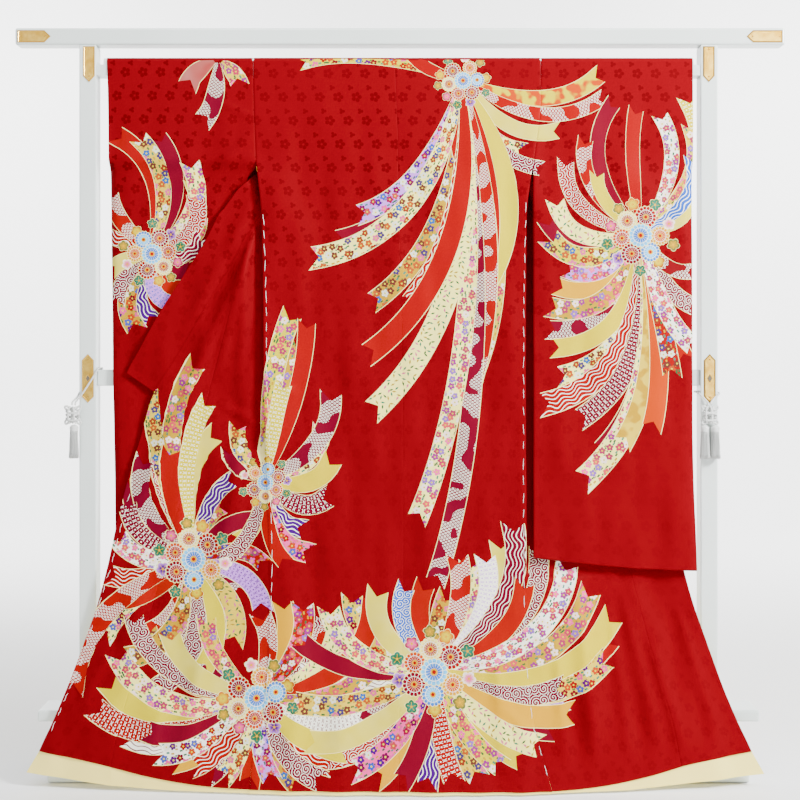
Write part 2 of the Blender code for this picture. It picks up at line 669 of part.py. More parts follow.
def rail():
    """The upper rail that carries the cloth: rounded along its top, and stepped down beside the posts."""
    shape = bmesh.new()
    inside = POST_INNER - GAP
    step = inside - STUB_LENGTH

    def ring(x, top):
        edge = RAIL_EDGE
        points = [(-RAIL_HALF_DEPTH, RAIL_BOTTOM), (RAIL_HALF_DEPTH, RAIL_BOTTOM)]
        for i in range(5):
            a = i / 4 * math.pi / 2
            points.append((RAIL_HALF_DEPTH - edge + edge * math.cos(a), top - edge + edge * math.sin(a)))
        for i in range(5):
            a = i / 4 * math.pi / 2
            points.append((-RAIL_HALF_DEPTH + edge - edge * math.sin(a), top - edge + edge * math.cos(a)))
        return [shape.verts.new((x, y, z)) for y, z in points]

    rings = [ring(-inside, STUB_TOP), ring(-step - 0.001, STUB_TOP), ring(-step, RAIL_TOP),
             ring(step, RAIL_TOP), ring(step + 0.001, STUB_TOP), ring(inside, STUB_TOP)]
    for first, second in zip(rings, rings[1:]):
        for i in range(len(first)):
            j = (i + 1) % len(first)
            shape.faces.new((first[i], first[j], second[j], second[i]))
    shape.faces.new(rings[0])
    shape.faces.new(rings[-1])
    bmesh.ops.recalc_face_normals(shape, faces=shape.faces)
    from_bmesh("rail_upper", shape, LACQUER)


# Gilt plates: name, middle across, middle height, half length, half width, points at (low, high) ends,
# lies along X
PLATE_THICKNESS = 0.0012
PLATES = (
    ("plate_top_left", -0.6910, 1.5965, 0.0400, 0.0128, (True, False), False),
    ("plate_top_right", 0.6930, 1.5965, 0.0400, 0.0128, (True, False), False),
    ("plate_middle_left", -0.6935, 0.8950, 0.0545, 0.0130, (True, True), False),
    ("plate_middle_right", 0.6950, 0.8950, 0.0545, 0.0130, (True, True), False),
    ("plate_bar_left", -0.8140, 1.6590, 0.0370, 0.0135, (False, True), True),
    ("plate_bar_right", 0.8180, 1.6590, 0.0400, 0.0135, (True, False), True),
)
PLATE_POINT = 0.014


def plate(name, x, z, half, width, pointed, along):
    """A thin metal plate with a blunt point at one end or both."""
    ends = []
    for sign, sharp in ((-1, pointed[0]), (1, pointed[1])):
        if sharp:
            ends += [(sign * (half - PLATE_POINT), -sign * -width), (sign * half, 0.0),
                     (sign * (half - PLATE_POINT), -sign * width)]
        else:
            ends += [(sign * half, -sign * -width), (sign * half, -sign * width)]
    front = -(BAR_HALF_DEPTH if along else POST_HALF_DEPTH) - GAP
    shape = bmesh.new()
    corners = [(x + p, z + q) if along else (x + q, z + p) for p, q in ends]
    loop = [shape.verts.new((p, front, q)) for p, q in corners]
    face = shape.faces.new(loop)
    grown = bmesh.ops.extrude_face_region(shape, geom=[face])
    moved = [v for v in grown["geom"] if isinstance(v, bmesh.types.BMVert)]
    bmesh.ops.translate(shape, verts=moved, vec=(0, -PLATE_THICKNESS, 0))
    bmesh.ops.recalc_face_normals(shape, faces=shape.faces)
    return from_bmesh(name, shape, GILT)


# Silk cords, knots and tassels
CORD_RADIUS = 0.0022
KNOT_Y = -0.0345
KNOT_HALF = (0.0145, 0.0095, 0.0215)
KNOT_LEFT = (-0.7240, 0.8140)
KNOT_RIGHT = (0.6930, 0.8140)
TASSEL_LEFT = -0.7215
TASSEL_RIGHT = (0.6812, 0.7048)
TASSEL_Y = -0.0350
TASSEL_TOPS = (0.7922, 0.7909)
HEAD_HEIGHT = 0.013
SKIRT = 0.062
STRANDS_ROUND = 12


def knot(name, place_at):
    """A flat silk knot: a woven block with a loop at each corner."""
    x, z = place_at
    shape = bmesh.new()
    bmesh.ops.create_uvsphere(shape, u_segments=12, v_segments=8, radius=1.0)
    for v in shape.verts:
        c = v.co
        v.co = Vector((
            x + KNOT_HALF[0] * math.copysign(abs(c.x) ** 0.6, c.x),
            KNOT_Y + KNOT_HALF[1] * c.y,
            z + KNOT_HALF[2] * math.copysign(abs(c.z) ** 0.6, c.z),
        ))
    body = from_bmesh(name, shape, WHITE_CORD)
    for i, (u, w) in enumerate(((-1, 1), (1, 1), (-1, -1), (1, -1))):
        loop = torus(f"{name}_loop_{i}", (x + u * 0.0145, KNOT_Y, z + w * 0.0150), 0.0062, CORD_RADIUS)
        loop.hide_render = True
        loop.display_type = "WIRE"
        step = body.modifiers.new(f"loop_{i}", "BOOLEAN")
        step.operation = "UNION"
        step.solver = "EXACT"
        step.object = loop
    return body


def torus(name, middle, major, minor):
    """A small ring of cord, its hole facing -Y."""
    shape = bmesh.new()
    section = bmesh.ops.create_circle(shape, radius=minor, segments=6, cap_ends=False)
    for v in section["verts"]:
        v.co = Vector((middle[0] + major + v.co.x, middle[1] + v.co.y, middle[2]))
    bmesh.ops.spin(
        shape, geom=shape.edges[:], cent=middle, axis=(0, 1, 0), angle=2 * math.pi, steps=10, use_merge=True,
    )
    bmesh.ops.recalc_face_normals(shape, faces=shape.faces)
    return from_bmesh(name, shape, WHITE_CORD)


def tassel(name, x, top):
    """A tassel: a turned head whose underside is drawn out into separate strands."""
    shape = bmesh.new()

    def ring(radius, z):
        return [
            shape.verts.new((
                x + radius * math.cos(2 * math.pi * i / STRANDS_ROUND),
                TASSEL_Y + radius * math.sin(2 * math.pi * i / STRANDS_ROUND),
                z,
            ))
            for i in range(STRANDS_ROUND)
        ]

    turned = [ring(0.0045, top), ring(0.0085, top - 0.003), ring(0.0100, top - 0.007),
              ring(0.0098, top - HEAD_HEIGHT)]
    under = top - HEAD_HEIGHT
    inner = [ring(0.0066, under), ring(0.0030, under)]
    shape.faces.new(turned[0])
    strand_faces = []
    for first, second in zip(turned + inner, (turned + inner)[1:]):
        for i in range(STRANDS_ROUND):
            j = (i + 1) % STRANDS_ROUND
            face = shape.faces.new((first[i], first[j], second[j], second[i]))
            if first is turned[-1] or first is inner[0]:
                strand_faces.append(face)
    shape.faces.new(inner[-1])
    bmesh.ops.recalc_face_normals(shape, faces=shape.faces)
    bmesh.ops.inset_individual(shape, faces=strand_faces, thickness=0.0003)
    drawn = bmesh.ops.extrude_discrete_faces(shape, faces=strand_faces)
    for face in drawn["faces"]:
        middle = face.calc_center_median()
        spread = Vector((middle.x - x, middle.y - TASSEL_Y, 0)) * 0.22
        length = SKIRT * (1 - 0.02 * math.sin(37.0 * math.atan2(middle.y - TASSEL_Y, middle.x - x)))
        for v in face.verts:
            v.co += spread + Vector((0, 0, -length))
    return from_bmesh(name, shape, WHITE_CORD)


# Routes of the two cords round their posts, from the knot's top back to it: distance out from the post's
# middle (towards the near end of the bar is positive), depth, height
CORD_LEFT = (
    (0.0250, -0.0335, 0.8362), (0.0245, -0.0300, 0.8425), (0.0160, -0.0270, 0.8540), (0.0020, -0.0268, 0.8740),
    (-0.0120, -0.0268, 0.8960), (-0.0215, -0.0262, 0.9120), (-0.0232, -0.0180, 0.9172),
    (-0.0232, 0.0100, 0.9175), (-0.0225, 0.0235, 0.9160), (-0.0140, 0.0262, 0.9100),
    (0.0060, 0.0262, 0.8900), (0.0190, 0.0255, 0.8760), (0.0228, 0.0180, 0.8690),
    (0.0230, -0.0080, 0.8600), (0.0240, -0.0200, 0.8530), (0.0315, -0.0300, 0.8430),
    (0.0320, -0.0335, 0.8362),
)
CORD_RIGHT = (
    (-0.0050, -0.0335, 0.8362), (-0.0060, -0.0300, 0.8425), (-0.0140, -0.0270, 0.8520), (-0.0205, -0.0255, 0.8590),
    (-0.0228, -0.0180, 0.8620), (-0.0232, 0.0100, 0.8640), (-0.0215, 0.0250, 0.8640),
    (0.0000, 0.0265, 0.8640), (0.0210, 0.0255, 0.8640), (0.0230, 0.0100, 0.8640),
    (0.0228, -0.0180, 0.8620), (0.0200, -0.0255, 0.8590), (0.0110, -0.0270, 0.8520),
    (0.0030, -0.0300, 0.8425), (0.0025, -0.0335, 0.8362),
)


def cord(name, route, middle, outward, sides=7, steps=2):
    """A round cord along a route."""
    path = [Vector((middle + outward * p[0], p[1], p[2])) for p in route]
    line = []
    for i in range(len(path) - 1):
        a, b = path[max(i - 1, 0)], path[i]
        c, d = path[i + 1], path[min(i + 2, len(path) - 1)]
        for k in range(steps):
            t = k / steps
            line.append(0.5 * (2 * b + (c - a) * t + (2 * a - 5 * b + 4 * c - d) * t**2
                               + (3 * b - 3 * c + d - a) * t**3))
    line.append(path[-1])
    shape = bmesh.new()
    rings = []
    across_it = Vector((0, 1, 0))
    for i, point in enumerate(line):
        ahead = (line[min(i + 1, len(line) - 1)] - line[max(i - 1, 0)]).normalized()
        across_it = (across_it - ahead * across_it.dot(ahead)).normalized()
        other = ahead.cross(across_it)
        turns = [2 * math.pi * k / sides for k in range(sides)]
        rings.append([
            shape.verts.new(point + (across_it * math.cos(a) + other * math.sin(a)) * CORD_RADIUS) for a in turns
        ])
    for first, second in zip(rings, rings[1:]):
        for i in range(sides):
            j = (i + 1) % sides
            shape.faces.new((first[i], first[j], second[j], second[i]))
    shape.faces.new(rings[0])
    shape.faces.new(rings[-1])
    bmesh.ops.recalc_face_normals(shape, faces=shape.faces)
    return from_bmesh(name, shape, WHITE_CORD)


stand()
for row in PLATES:
    plate(*row)

back_left, left_rows = back_panel("back_left", SEAM / 2, seam_side=1)
back_right, right_rows = back_panel("back_right", SEAM / 2, seam_side=-1)
sleeve("sleeve_left", -1)
sleeve("sleeve_right", 1)
_, front_left_rows = front_panel("front_left", -1)
_, front_right_rows = front_panel("front_right", 1)
okumi_left, okumi_left_rows = okumi_panel("okumi_left", -1)
okumi_right, okumi_right_rows = okumi_panel("okumi_right", 1)
collar("collar")

STRIP_GAP = 0.0006
for name, rows, side, out in (
    ("hem_lining_back_left", left_rows, -1, 0.0),
    ("hem_lining_back_right", right_rows, 1, 0.0),
    ("hem_lining_front_left", front_left_rows, -1, 0.0),
    ("hem_lining_front_right", front_right_rows, 1, 0.0),
    ("hem_lining_okumi_left", okumi_left_rows, -1, LINING_OUT),
    ("hem_lining_okumi_right", okumi_right_rows, 1, LINING_OUT),
):
    lining(name, trimmed(rows[-2], STRIP_GAP, STRIP_GAP), trimmed(rows[-1], STRIP_GAP, STRIP_GAP), out, side)

knot("knot_left", KNOT_LEFT)
knot("knot_right", KNOT_RIGHT)
tassel("tassel_left", TASSEL_LEFT, TASSEL_TOPS[0])
tassel("tassel_right_inner", TASSEL_RIGHT[0], TASSEL_TOPS[1])
tassel("tassel_right_outer", TASSEL_RIGHT[1], TASSEL_TOPS[1])
POST_MIDDLE = POST_INNER + POST_WIDTH / 2
cord("cord_left", CORD_LEFT, -POST_MIDDLE, -1)
cord("cord_right", CORD_RIGHT, POST_MIDDLE, 1)
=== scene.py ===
"""The look of a red furisode kimono shown from its back on a white lacquered kimono stand.

Metres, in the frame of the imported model: +X right, +Z up, and the camera looks along +Y.
"""

import math
import random
from functools import partialmethod

import bmesh
import bpy
import numpy as np
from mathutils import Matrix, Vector
from mathutils.geometry import delaunay_2d_cdt


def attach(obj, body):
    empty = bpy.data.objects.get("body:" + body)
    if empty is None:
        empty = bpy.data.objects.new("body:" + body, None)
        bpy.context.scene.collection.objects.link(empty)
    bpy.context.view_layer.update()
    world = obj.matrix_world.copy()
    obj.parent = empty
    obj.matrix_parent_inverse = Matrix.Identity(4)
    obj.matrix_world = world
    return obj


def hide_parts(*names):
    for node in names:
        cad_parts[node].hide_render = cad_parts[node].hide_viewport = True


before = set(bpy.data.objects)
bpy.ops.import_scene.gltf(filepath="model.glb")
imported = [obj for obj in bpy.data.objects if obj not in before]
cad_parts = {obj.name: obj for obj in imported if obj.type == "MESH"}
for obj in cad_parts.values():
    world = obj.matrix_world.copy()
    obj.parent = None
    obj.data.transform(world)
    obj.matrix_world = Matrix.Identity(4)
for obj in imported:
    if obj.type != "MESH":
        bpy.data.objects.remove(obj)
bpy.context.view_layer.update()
rng = random.Random(7)

# Stand
# Straight wooden bars under thick white lacquer: a top bar on two posts, a rail that carries the garment,
# a middle rail, two boards as a base and two rear feet. Their solids are right, so they get a finish.


class Wire:
    """A value worked out by a material's nodes, so that a pattern is written as plain arithmetic."""

    def __init__(self, socket):
        self.socket = socket
        self.tree = socket.id_data

    def through(self, operation, b=0.0, c=0.0):
        """The value put through a maths node."""
        node = add(self.tree, "ShaderNodeMath", {"operation": operation}, i0=self, i1=b, i2=c)
        return Wire(node.outputs[0])


for method, operation in (("add", "ADD"), ("sub", "SUBTRACT"), ("mul", "MULTIPLY"), ("truediv", "DIVIDE"),
                          ("gt", "GREATER_THAN"), ("lt", "LESS_THAN"), ("abs", "ABSOLUTE")):
    setattr(Wire, f"__{method}__", partialmethod(Wire.through, operation))


def add(tree, kind, settings=(), **inputs):
    """A new node with its settings, and with its numbered or named inputs set or linked."""
    node = tree.nodes.new(kind)
    for key, value in dict(settings).items():
        setattr(node, key, value)
    for key, value in inputs.items():
        socket = node.inputs[int(key[1:])] if key[1:].isdigit() else node.inputs[key.replace("_", " ")]
        if isinstance(value, Wire):
            value = value.socket
        if isinstance(value, bpy.types.NodeSocket):
            tree.links.new(value, socket)
        else:
            socket.default_value = value
    return node


def shader_of(name, colour, roughness, **sockets):
    """A new material, with its node tree and its Principled shader."""
    material = bpy.data.materials.new(name)
    material.use_nodes = True
    tree = material.node_tree
    shader = tree.nodes["Principled BSDF"]
    shader.inputs["Base Color"].default_value = (*colour, 1.0)
    shader.inputs["Roughness"].default_value = roughness
    for socket, value in sockets.items():
        shader.inputs[socket.replace("_", " ")].default_value = value
    return material, tree, shader


def places(tree, uv_map=None):
    """An object's own coordinates, or those of one of its UV maps."""
    if uv_map:
        return add(tree, "ShaderNodeUVMap", {"uv_map": uv_map}).outputs["UV"]
    return add(tree, "ShaderNodeTexCoord").outputs["Object"]


def noise(place, scale, detail):
    """A soft cloudy value at each place."""
    node = add(place.id_data, "ShaderNodeTexNoise", Vector=place, Scale=scale, Detail=detail)
    return Wire(node.outputs["Fac"])


def bump(shader, height, strength, distance):
    """A small relief on the shader's surface."""
    node = add(height.tree, "ShaderNodeBump", Height=height, Strength=strength, Distance=distance)
    height.tree.links.new(node.outputs["Normal"], shader.inputs["Normal"])


def stops(share, *rows):
    """A colour ramp: rows of place and colour."""
    ramp = add(share.tree, "ShaderNodeValToRGB", Fac=share)
    line = ramp.color_ramp
    while len(line.elements) < len(rows):
        line.elements.new(0.5)
    for element, (at, colour) in zip(line.elements, rows):
        element.position = at
        element.color = (*colour, 1.0)
    return ramp.outputs["Color"]


LACQUER_WHITE = (0.70, 0.75, 0.725)
LACQUER_SHADE = (0.60, 0.66, 0.63)
lacquer, tree, shader = shader_of("lacquer_on_wood", LACQUER_WHITE, 0.28, Coat_Weight=0.3,
                                  Coat_Roughness=0.12)
cloudy = noise(places(tree), 2.2, 3.0)
tree.links.new(stops(cloudy, (0.3, LACQUER_WHITE), (0.75, LACQUER_SHADE)), shader.inputs["Base Color"])
bump(shader, noise(places(tree), 160.0, 2.0), 0.05, 0.0006)

for name in ("top_bar", "rail_upper", "rail_middle", "base_board", "floor_board", "post_left", "post_right",
             "foot_left", "foot_right"):
    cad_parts[name].material_slots[0].material = lacquer

# Silk of the garment
# Figured red silk crepe, woven with small flowers that only show by their sheen, lined with cream silk. The
# flowers' sheen is painted: they are a darker red, clearer towards the top where the light catches them.
# Every panel is one straight length of the bolt. The design is dyed into it, so it lies in the cloth's own
# surface.

RED = (0.150, 0.0, 0.0035)
RED_FIGURE_PAINTED_SHEEN = (0.092, 0.0, 0.0020)
CREAM = (0.95, 0.79, 0.20)
RINZU_ACROSS = 0.040
RINZU_DOWN = 0.053
RINZU_RADIUS = 0.0125
RINZU_SPRIG = 0.0075
CLOTH = 0.0012


def split(vector):
    """A vector's parts."""
    return [Wire(part) for part in add(vector.id_data, "ShaderNodeSeparateXYZ", Vector=vector).outputs]


def moved(place, across, down):
    """Coordinates moved aside, for a second layer of a pattern."""
    return add(place.id_data, "ShaderNodeMapping", Vector=place, Location=(across, down, 0.0)).outputs[0]


def tile(uv, across, down):
    """Coordinates from the middle of each brick of a running bond, in metres."""
    x, y, _ = split(uv)
    odd = abs((y / down).through("FLOOR")).through("MODULO", 2.0)
    x = odd.through("MULTIPLY_ADD", across / 2, x)
    return x.through("WRAP", across, 0.0) - across / 2, y.through("WRAP", down, 0.0) - down / 2


def petals(x, y, radius, count, depth):
    """The share of the way out to a flower's notched edge, with the distance and the turn from its middle."""
    far = (x * x + y * y).through("SQRT")
    turn = y.through("ARCTAN2", x) * (count / 2)
    edge = abs(turn.through("COSINE")).through("MULTIPLY_ADD", depth, 1 - depth)
    return far / (edge * radius), far, turn


def ranged(value, low, high, first=0.0, last=1.0, kind="LINEAR"):
    """The value led from one range to another."""
    return Wire(add(value.tree, "ShaderNodeMapRange", {"interpolation_type": kind}, Value=value, From_Min=low,
                    From_Max=high, To_Min=first, To_Max=last).outputs[0])


def within(value, low, high):
    """1 below the low value and 0 above the high one, with a soft edge between them."""
    return ranged(value, low, high, 1.0, 0.0, "SMOOTHSTEP")


def crepe(shader, strength):
    """The silk's fine grain."""
    bump(shader, noise(places(shader.id_data, "cut"), 900.0, 2.0), strength, 0.0004)


silk_red, tree, shader = shader_of("silk_red", RED, 0.50, Sheen_Weight=0.03, Sheen_Roughness=0.4,
                                   Sheen_Tint=(1.0, 0.10, 0.08, 1.0), Specular_Tint=(1.0, 0.20, 0.16, 1.0),
                                   Specular_IOR_Level=0.05)
# Painted sheen: the woven flowers are a darker red, fading out lower down, with a real change of roughness
uv = places(tree, "cut")
share, far, turn = petals(*tile(uv, RINZU_ACROSS, RINZU_DOWN), RINZU_RADIUS, 5, 0.32)
vein = (abs(turn.through("SINE")) > 0.985) * 0.6
figure = (within(share, 0.86, 1.0) - within(far, 0.0022, 0.0030) - vein).through("MAXIMUM", 0.0)
sprig, _, _ = petals(*tile(moved(uv, 0.013, 0.021), RINZU_ACROSS, RINZU_DOWN), RINZU_SPRIG, 3, 0.6)
figure = figure.through("MAXIMUM", within(sprig, 0.8, 1.0))
where = places(tree)
painted_sheen_by_height = ranged(split(where)[2], 0.9, 1.35, 0.30, 1.0)
patchy = ranged(noise(where, 2.6, 2.0), 0.35, 0.62, 0.45, 1.0)
figure = figure * (painted_sheen_by_height * patchy)
tree.links.new(stops(figure, (0.0, RED), (1.0, RED_FIGURE_PAINTED_SHEEN)), shader.inputs["Base Color"])
tree.links.new(ranged(figure, 0.0, 1.0, 0.46, 0.58).socket, shader.inputs["Roughness"])
crepe(shader, 0.10)

silk_cream, tree, shader = shader_of("silk_cream", CREAM, 0.55, Sheen_Weight=0.10)
crepe(shader, 0.08)


# The cloth's slack, the same for all panels so that their seams stay shut: waves across and down per metre,
# phase, height
SLACK = (
    (9.0, 1.1, 0.3, 0.0013), (14.5, -1.7, 2.1, 0.0009), (5.2, 2.3, 4.0, 0.0015), (3.1, -3.4, 1.2, 0.0011),
    (22.0, 2.0, 5.1, 0.0004), (7.1, 6.3, 0.7, 0.0006),
)

# The heights below and above which the slack comes in, and over what stretch
SLACK_BELOW, SLACK_IN = 1.58, 0.25
SLACK_OUT = 0.12


def creased(points, creases):
    """The sheet with its slack and with soft folds: rows of x, z at both ends, half width and rise to -Y."""
    x, z = points[:, :, 0], points[:, :, 2]
    hangs = np.clip((SLACK_BELOW - z) / SLACK_IN, 0.0, 1.0) * np.clip(z / SLACK_OUT, 0.0, 1.0)
    waves_at = ((height, 2 * math.pi * (a * x + b * z) + phase) for a, b, phase, height in SLACK)
    lift = sum(height * np.sin(angle) for height, angle in waves_at) * hangs
    for x1, z1, x2, z2, half, height in creases:
        dx, dz = x2 - x1, z2 - z1
        length = math.hypot(dx, dz)
        along = ((x - x1) * dx + (z - z1) * dz) / length**2
        off = ((x - x1) * dz - (z - z1) * dx) / length
        fade = np.clip(np.minimum(along + 0.12, 1.12 - along) / 0.30, 0.0, 1.0)
        fade = fade * fade * (3 - 2 * fade)
        lift += height * fade * np.exp(-((off / (half * (0.7 + 0.5 * np.clip(along, 0, 1)))) ** 2))
    return points - lift[:, :, None] * (0.0, 1.0, 0.0)


def sampled(array, rows, columns):
    """Values of a sheet's array at fractional rows and columns."""
    i = np.clip(rows.astype(int), 0, array.shape[0] - 2)
    j = np.clip(columns.astype(int), 0, array.shape[1] - 2)
    a = (rows - i)[:, None]
    b = (columns - j)[:, None]
    upper = array[i, j] * (1 - b) + array[i, j + 1] * b
    lower = array[i + 1, j] * (1 - b) + array[i + 1, j + 1] * b
    return upper * (1 - a) + lower * a


class Panel:
    """A cloth panel: its middle surface, the size of its cut, and the stretch of rows and columns in view."""

    def __init__(self, rows, width, origin, view_rows, view_from, creases):
        points = np.array([[tuple(p) for p in row] for row in rows])
        steps = np.linalg.norm(np.diff(points, axis=0), axis=2).mean(axis=1)
        self.down = np.concatenate(([0.0], np.cumsum(steps)))
        self.points = creased(points, creases)
        self.normal = np.cross(np.gradient(self.points, axis=1), np.gradient(self.points, axis=0))
        self.normal /= np.maximum(np.linalg.norm(self.normal, axis=2, keepdims=True), 1e-9)
        self.width, self.length, self.origin = width, self.down[-1], np.array(origin)
        self.view_rows = view_rows or (0, len(rows) - 1)
        self.view_from = view_from
        first, last = self.view_rows
        if self.normal[(first + last) // 2, -2, 1] > 0:
            self.normal = -self.normal
        seen = self.points[first:last + 1].reshape(-1, 3)
        self.seen = seen[:, 0].min(), seen[:, 0].max(), seen[:, 2].min(), seen[:, 2].max()

    def index(self, cut):
        """Fractional rows and columns of places in the cut."""
        rows = np.interp(cut[:, 1], self.down, np.arange(len(self.down)))
        return rows, cut[:, 0] / self.width * (self.points.shape[1] - 1)

    def at(self, cut):
        """Points and normals of the hanging cloth at places in the cut."""
        rows, columns = self.index(cut)
        return sampled(self.points, rows, columns), sampled(self.normal, rows, columns)

    def locate(self, x, z):
        """The place in the cut of the point seen at x and z, carried on straight past the panel's edges."""
        first, last = self.view_rows
        row = (first + last) / 2
        count = self.points.shape[1]
        for _ in range(6):
            i = int(min(max(row, first), last - 1))
            line = self.points[i]
            start = self.view_from(i) if callable(self.view_from) else self.view_from
            xs = line[start:, 0]
            steps = np.arange(start, count)
            sign = 1.0 if xs[-1] > xs[0] else -1.0
            pace = (xs[-1] - xs[0]) / (count - 1 - start)
            if sign * (x - xs[0]) < 0:
                column = start + (x - xs[0]) / pace
            elif sign * (x - xs[-1]) > 0:
                column = count - 1 + (x - xs[-1]) / pace
            else:
                column = float(np.interp(sign * x, sign * xs, steps))
            j = int(min(max(round(column), 0), count - 1))
            zs = self.points[first:last + 1, j, 2]
            if z > zs[0]:
                row = first - (z - zs[0]) / max(zs[0] - zs[1], 1e-4)
            elif z < zs[-1]:
                row = last + (zs[-1] - z) / max(zs[-2] - zs[-1], 1e-4)
            else:
                row = first + float(np.interp(-z, -zs, np.arange(len(zs))))
        down = float(np.interp(row, np.arange(len(self.down)), self.down))
        if row > len(self.down) - 1:
            down += (row - len(self.down) + 1) * (self.down[-1] - self.down[-2])
        if row < 0:
            down += row * (self.down[1] - self.down[0])
        return column / (count - 1) * self.width, down


# The sheets' division, the ditch along a seam with its two extra columns, and the red part of the inner face
GRID = 0.0085
DITCH_HALF_WIDTH = 0.0018
DITCH_DEPTH = 0.0013
DITCH_LEAN = 1.1
BESIDE_SEAM = (0.0013, 0.0036)
FACING = 0.0037


def drawn_in(panel, flat, middle, normal, seams):
    """The cloth drawn inwards along its sewn edges, 0 at the first column and 1 at the last."""
    rows, columns = panel.index(flat)
    outwards = sampled(np.gradient(panel.points, axis=1), rows, columns)
    outwards /= np.maximum(np.linalg.norm(outwards, axis=1, keepdims=True), 1e-9)
    for end in seams:
        off = np.abs(flat[:, 0] - end * panel.width) / DITCH_HALF_WIDTH
        deep = np.exp(-(off**2))[:, None]
        middle = middle - normal * DITCH_DEPTH * deep
        normal = normal + outwards * (1 if end else -1) * DITCH_LEAN * off[:, None] * deep
        normal /= np.linalg.norm(normal, axis=1, keepdims=True)
    return middle, normal


def new_object(name, data):
    thing = bpy.data.objects.new(name, data)
    bpy.context.scene.collection.objects.link(thing)
    return thing


def divided(panel, motifs, seams):
    """The flat cut in triangles, divided along the outlines of the motifs: its points, its faces, the number
    of the top motif on each face, and the motifs that lie on it."""
    nv = max(2, round(panel.length / GRID))
    across_it = list(np.linspace(0.0, panel.width, max(2, round(panel.width / GRID)) + 1))
    if 0 in seams:
        across_it[1:1] = BESIDE_SEAM
    if 1 in seams:
        across_it[-1:-1] = [panel.width - off for off in reversed(BESIDE_SEAM)]
    nu = len(across_it) - 1
    verts = [Vector((u, panel.length * j / nv)) for j in range(nv + 1) for u in across_it]
    frame_loop = [0, nu, nv * (nu + 1) + nu, nv * (nu + 1)]
    faces, kept = [frame_loop], []
    for motif in motifs:
        xs, zs = zip(*motif["outline"])
        x1, x2, z1, z2 = panel.seen
        if max(xs) < x1 or min(xs) > x2 or max(zs) < z1 or min(zs) > z2:
            continue
        outline = [panel.locate(px, pz) for px, pz in motif["outline"]]
        us = [p[0] for p in outline]
        vs = [p[1] for p in outline]
        if max(us) < 0 or min(us) > panel.width or max(vs) < 0 or min(vs) > panel.length:
            continue
        turning = sum(a[0] * b[1] - b[0] * a[1] for a, b in zip(outline, outline[1:] + outline[:1]))
        if turning < 0:
            outline = outline[::-1]
        first = len(verts)
        verts += [Vector(p) for p in outline]
        faces.append(list(range(first, len(verts))))
        kept.append(motif)
    flat, _, cut_faces, _, _, sources = delaunay_2d_cdt(verts, [], faces, 0, 1e-5)
    covered = [(tuple(face), source) for face, source in zip(cut_faces, sources) if 0 in source]
    used = sorted({i for face, _ in covered for i in face})
    renumber = {old: new for new, old in enumerate(used)}
    flat = np.clip(np.array([tuple(flat[i]) for i in used]), 0, (panel.width, panel.length))
    outer = [tuple(renumber[i] for i in face) for face, _ in covered]
    return flat, outer, [max(source) for _, source in covered], kept


def closed_into_ring(mesh, flat, length):
    """The sheet's first and last rows joined, so that it is one bag."""
    shape = bmesh.new()
    shape.from_mesh(mesh)
    down = [flat[v.index % len(flat), 1] for v in shape.verts]
    ends = [v for v in shape.verts if down[v.index] < 1e-6 or down[v.index] > length - 1e-6]
    bmesh.ops.remove_doubles(shape, verts=ends, dist=1e-5)
    shape.to_mesh(mesh)
    shape.free()


def drawn_sheet(name, panel, motifs, plain_after=None, ring=False, seams=(), outside=silk_red,
                inside=silk_cream):
    """A panel's cloth as a thin wall. Its outer face is divided along the outlines of the dyed motifs."""
    flat, outer, over, kept = divided(panel, motifs, seams)
    count = len(flat)
    middle, normal = drawn_in(panel, flat, *panel.at(flat), seams)
    a, b, c = (middle[[face[k] for face in outer]] for k in range(3))
    mean = normal[[face[0] for face in outer]]
    if (np.cross(b - a, c - a) * mean).sum() < 0:
        outer = [face[::-1] for face in outer]
    sides = {}
    for face in outer:
        for i, j in zip(face, face[1:] + face[:1]):
            sides[(i, j)] = sides.get((i, j), 0) + 1
    rim = [(i, j) for i, j in sides if (j, i) not in sides]
    if ring:
        ends = {i for i in range(count) if flat[i, 1] < 1e-6 or flat[i, 1] > panel.length - 1e-6}
        rim = [(i, j) for i, j in rim if not (i in ends and j in ends)]
    half = CLOTH / 2 * normal
    places = np.concatenate((middle + half, middle - half))
    inner = [tuple(i + count for i in face[::-1]) for face in outer]
    edge = [(j, i, i + count, j + count) for i, j in rim]
    mesh = bpy.data.meshes.new(name)
    mesh.from_pydata(places.tolist(), [], outer + inner + edge)
    for material in (outside, inside):
        mesh.materials.append(material)
    slots = {}
    lined = [int(FACING < flat[list(face), 0].mean() < panel.width - FACING) for face in outer]
    paint = [0] * len(outer) + lined + [0] * len(edge)
    for k, top in enumerate(over):
        low = max(flat[i, 1] for i in outer[k])
        if top > 0 and (plain_after is None or low < panel.down[plain_after]):
            material = kept[top - 1]["material"]
            if material.name not in slots:
                mesh.materials.append(material)
                slots[material.name] = len(mesh.materials) - 1
            paint[k] = slots[material.name]
        else:
            over[k] = 0
    mesh.polygons.foreach_set("material_index", paint)
    mesh.polygons.foreach_set("use_smooth", [True] * len(mesh.polygons))
    corner = np.zeros(len(mesh.loops), dtype=int)
    mesh.loops.foreach_get("vertex_index", corner)
    cut = mesh.uv_layers.new(name="cut")
    cut.data.foreach_set("uv", (flat[corner % count] + panel.origin).ravel())
    drawing(mesh, kept, over, places)
    both = np.concatenate((normal, -normal))
    mesh.normals_split_custom_set_from_vertices(both.tolist())
    if ring:
        closed_into_ring(mesh, flat, panel.length)
    return new_object(name, mesh)


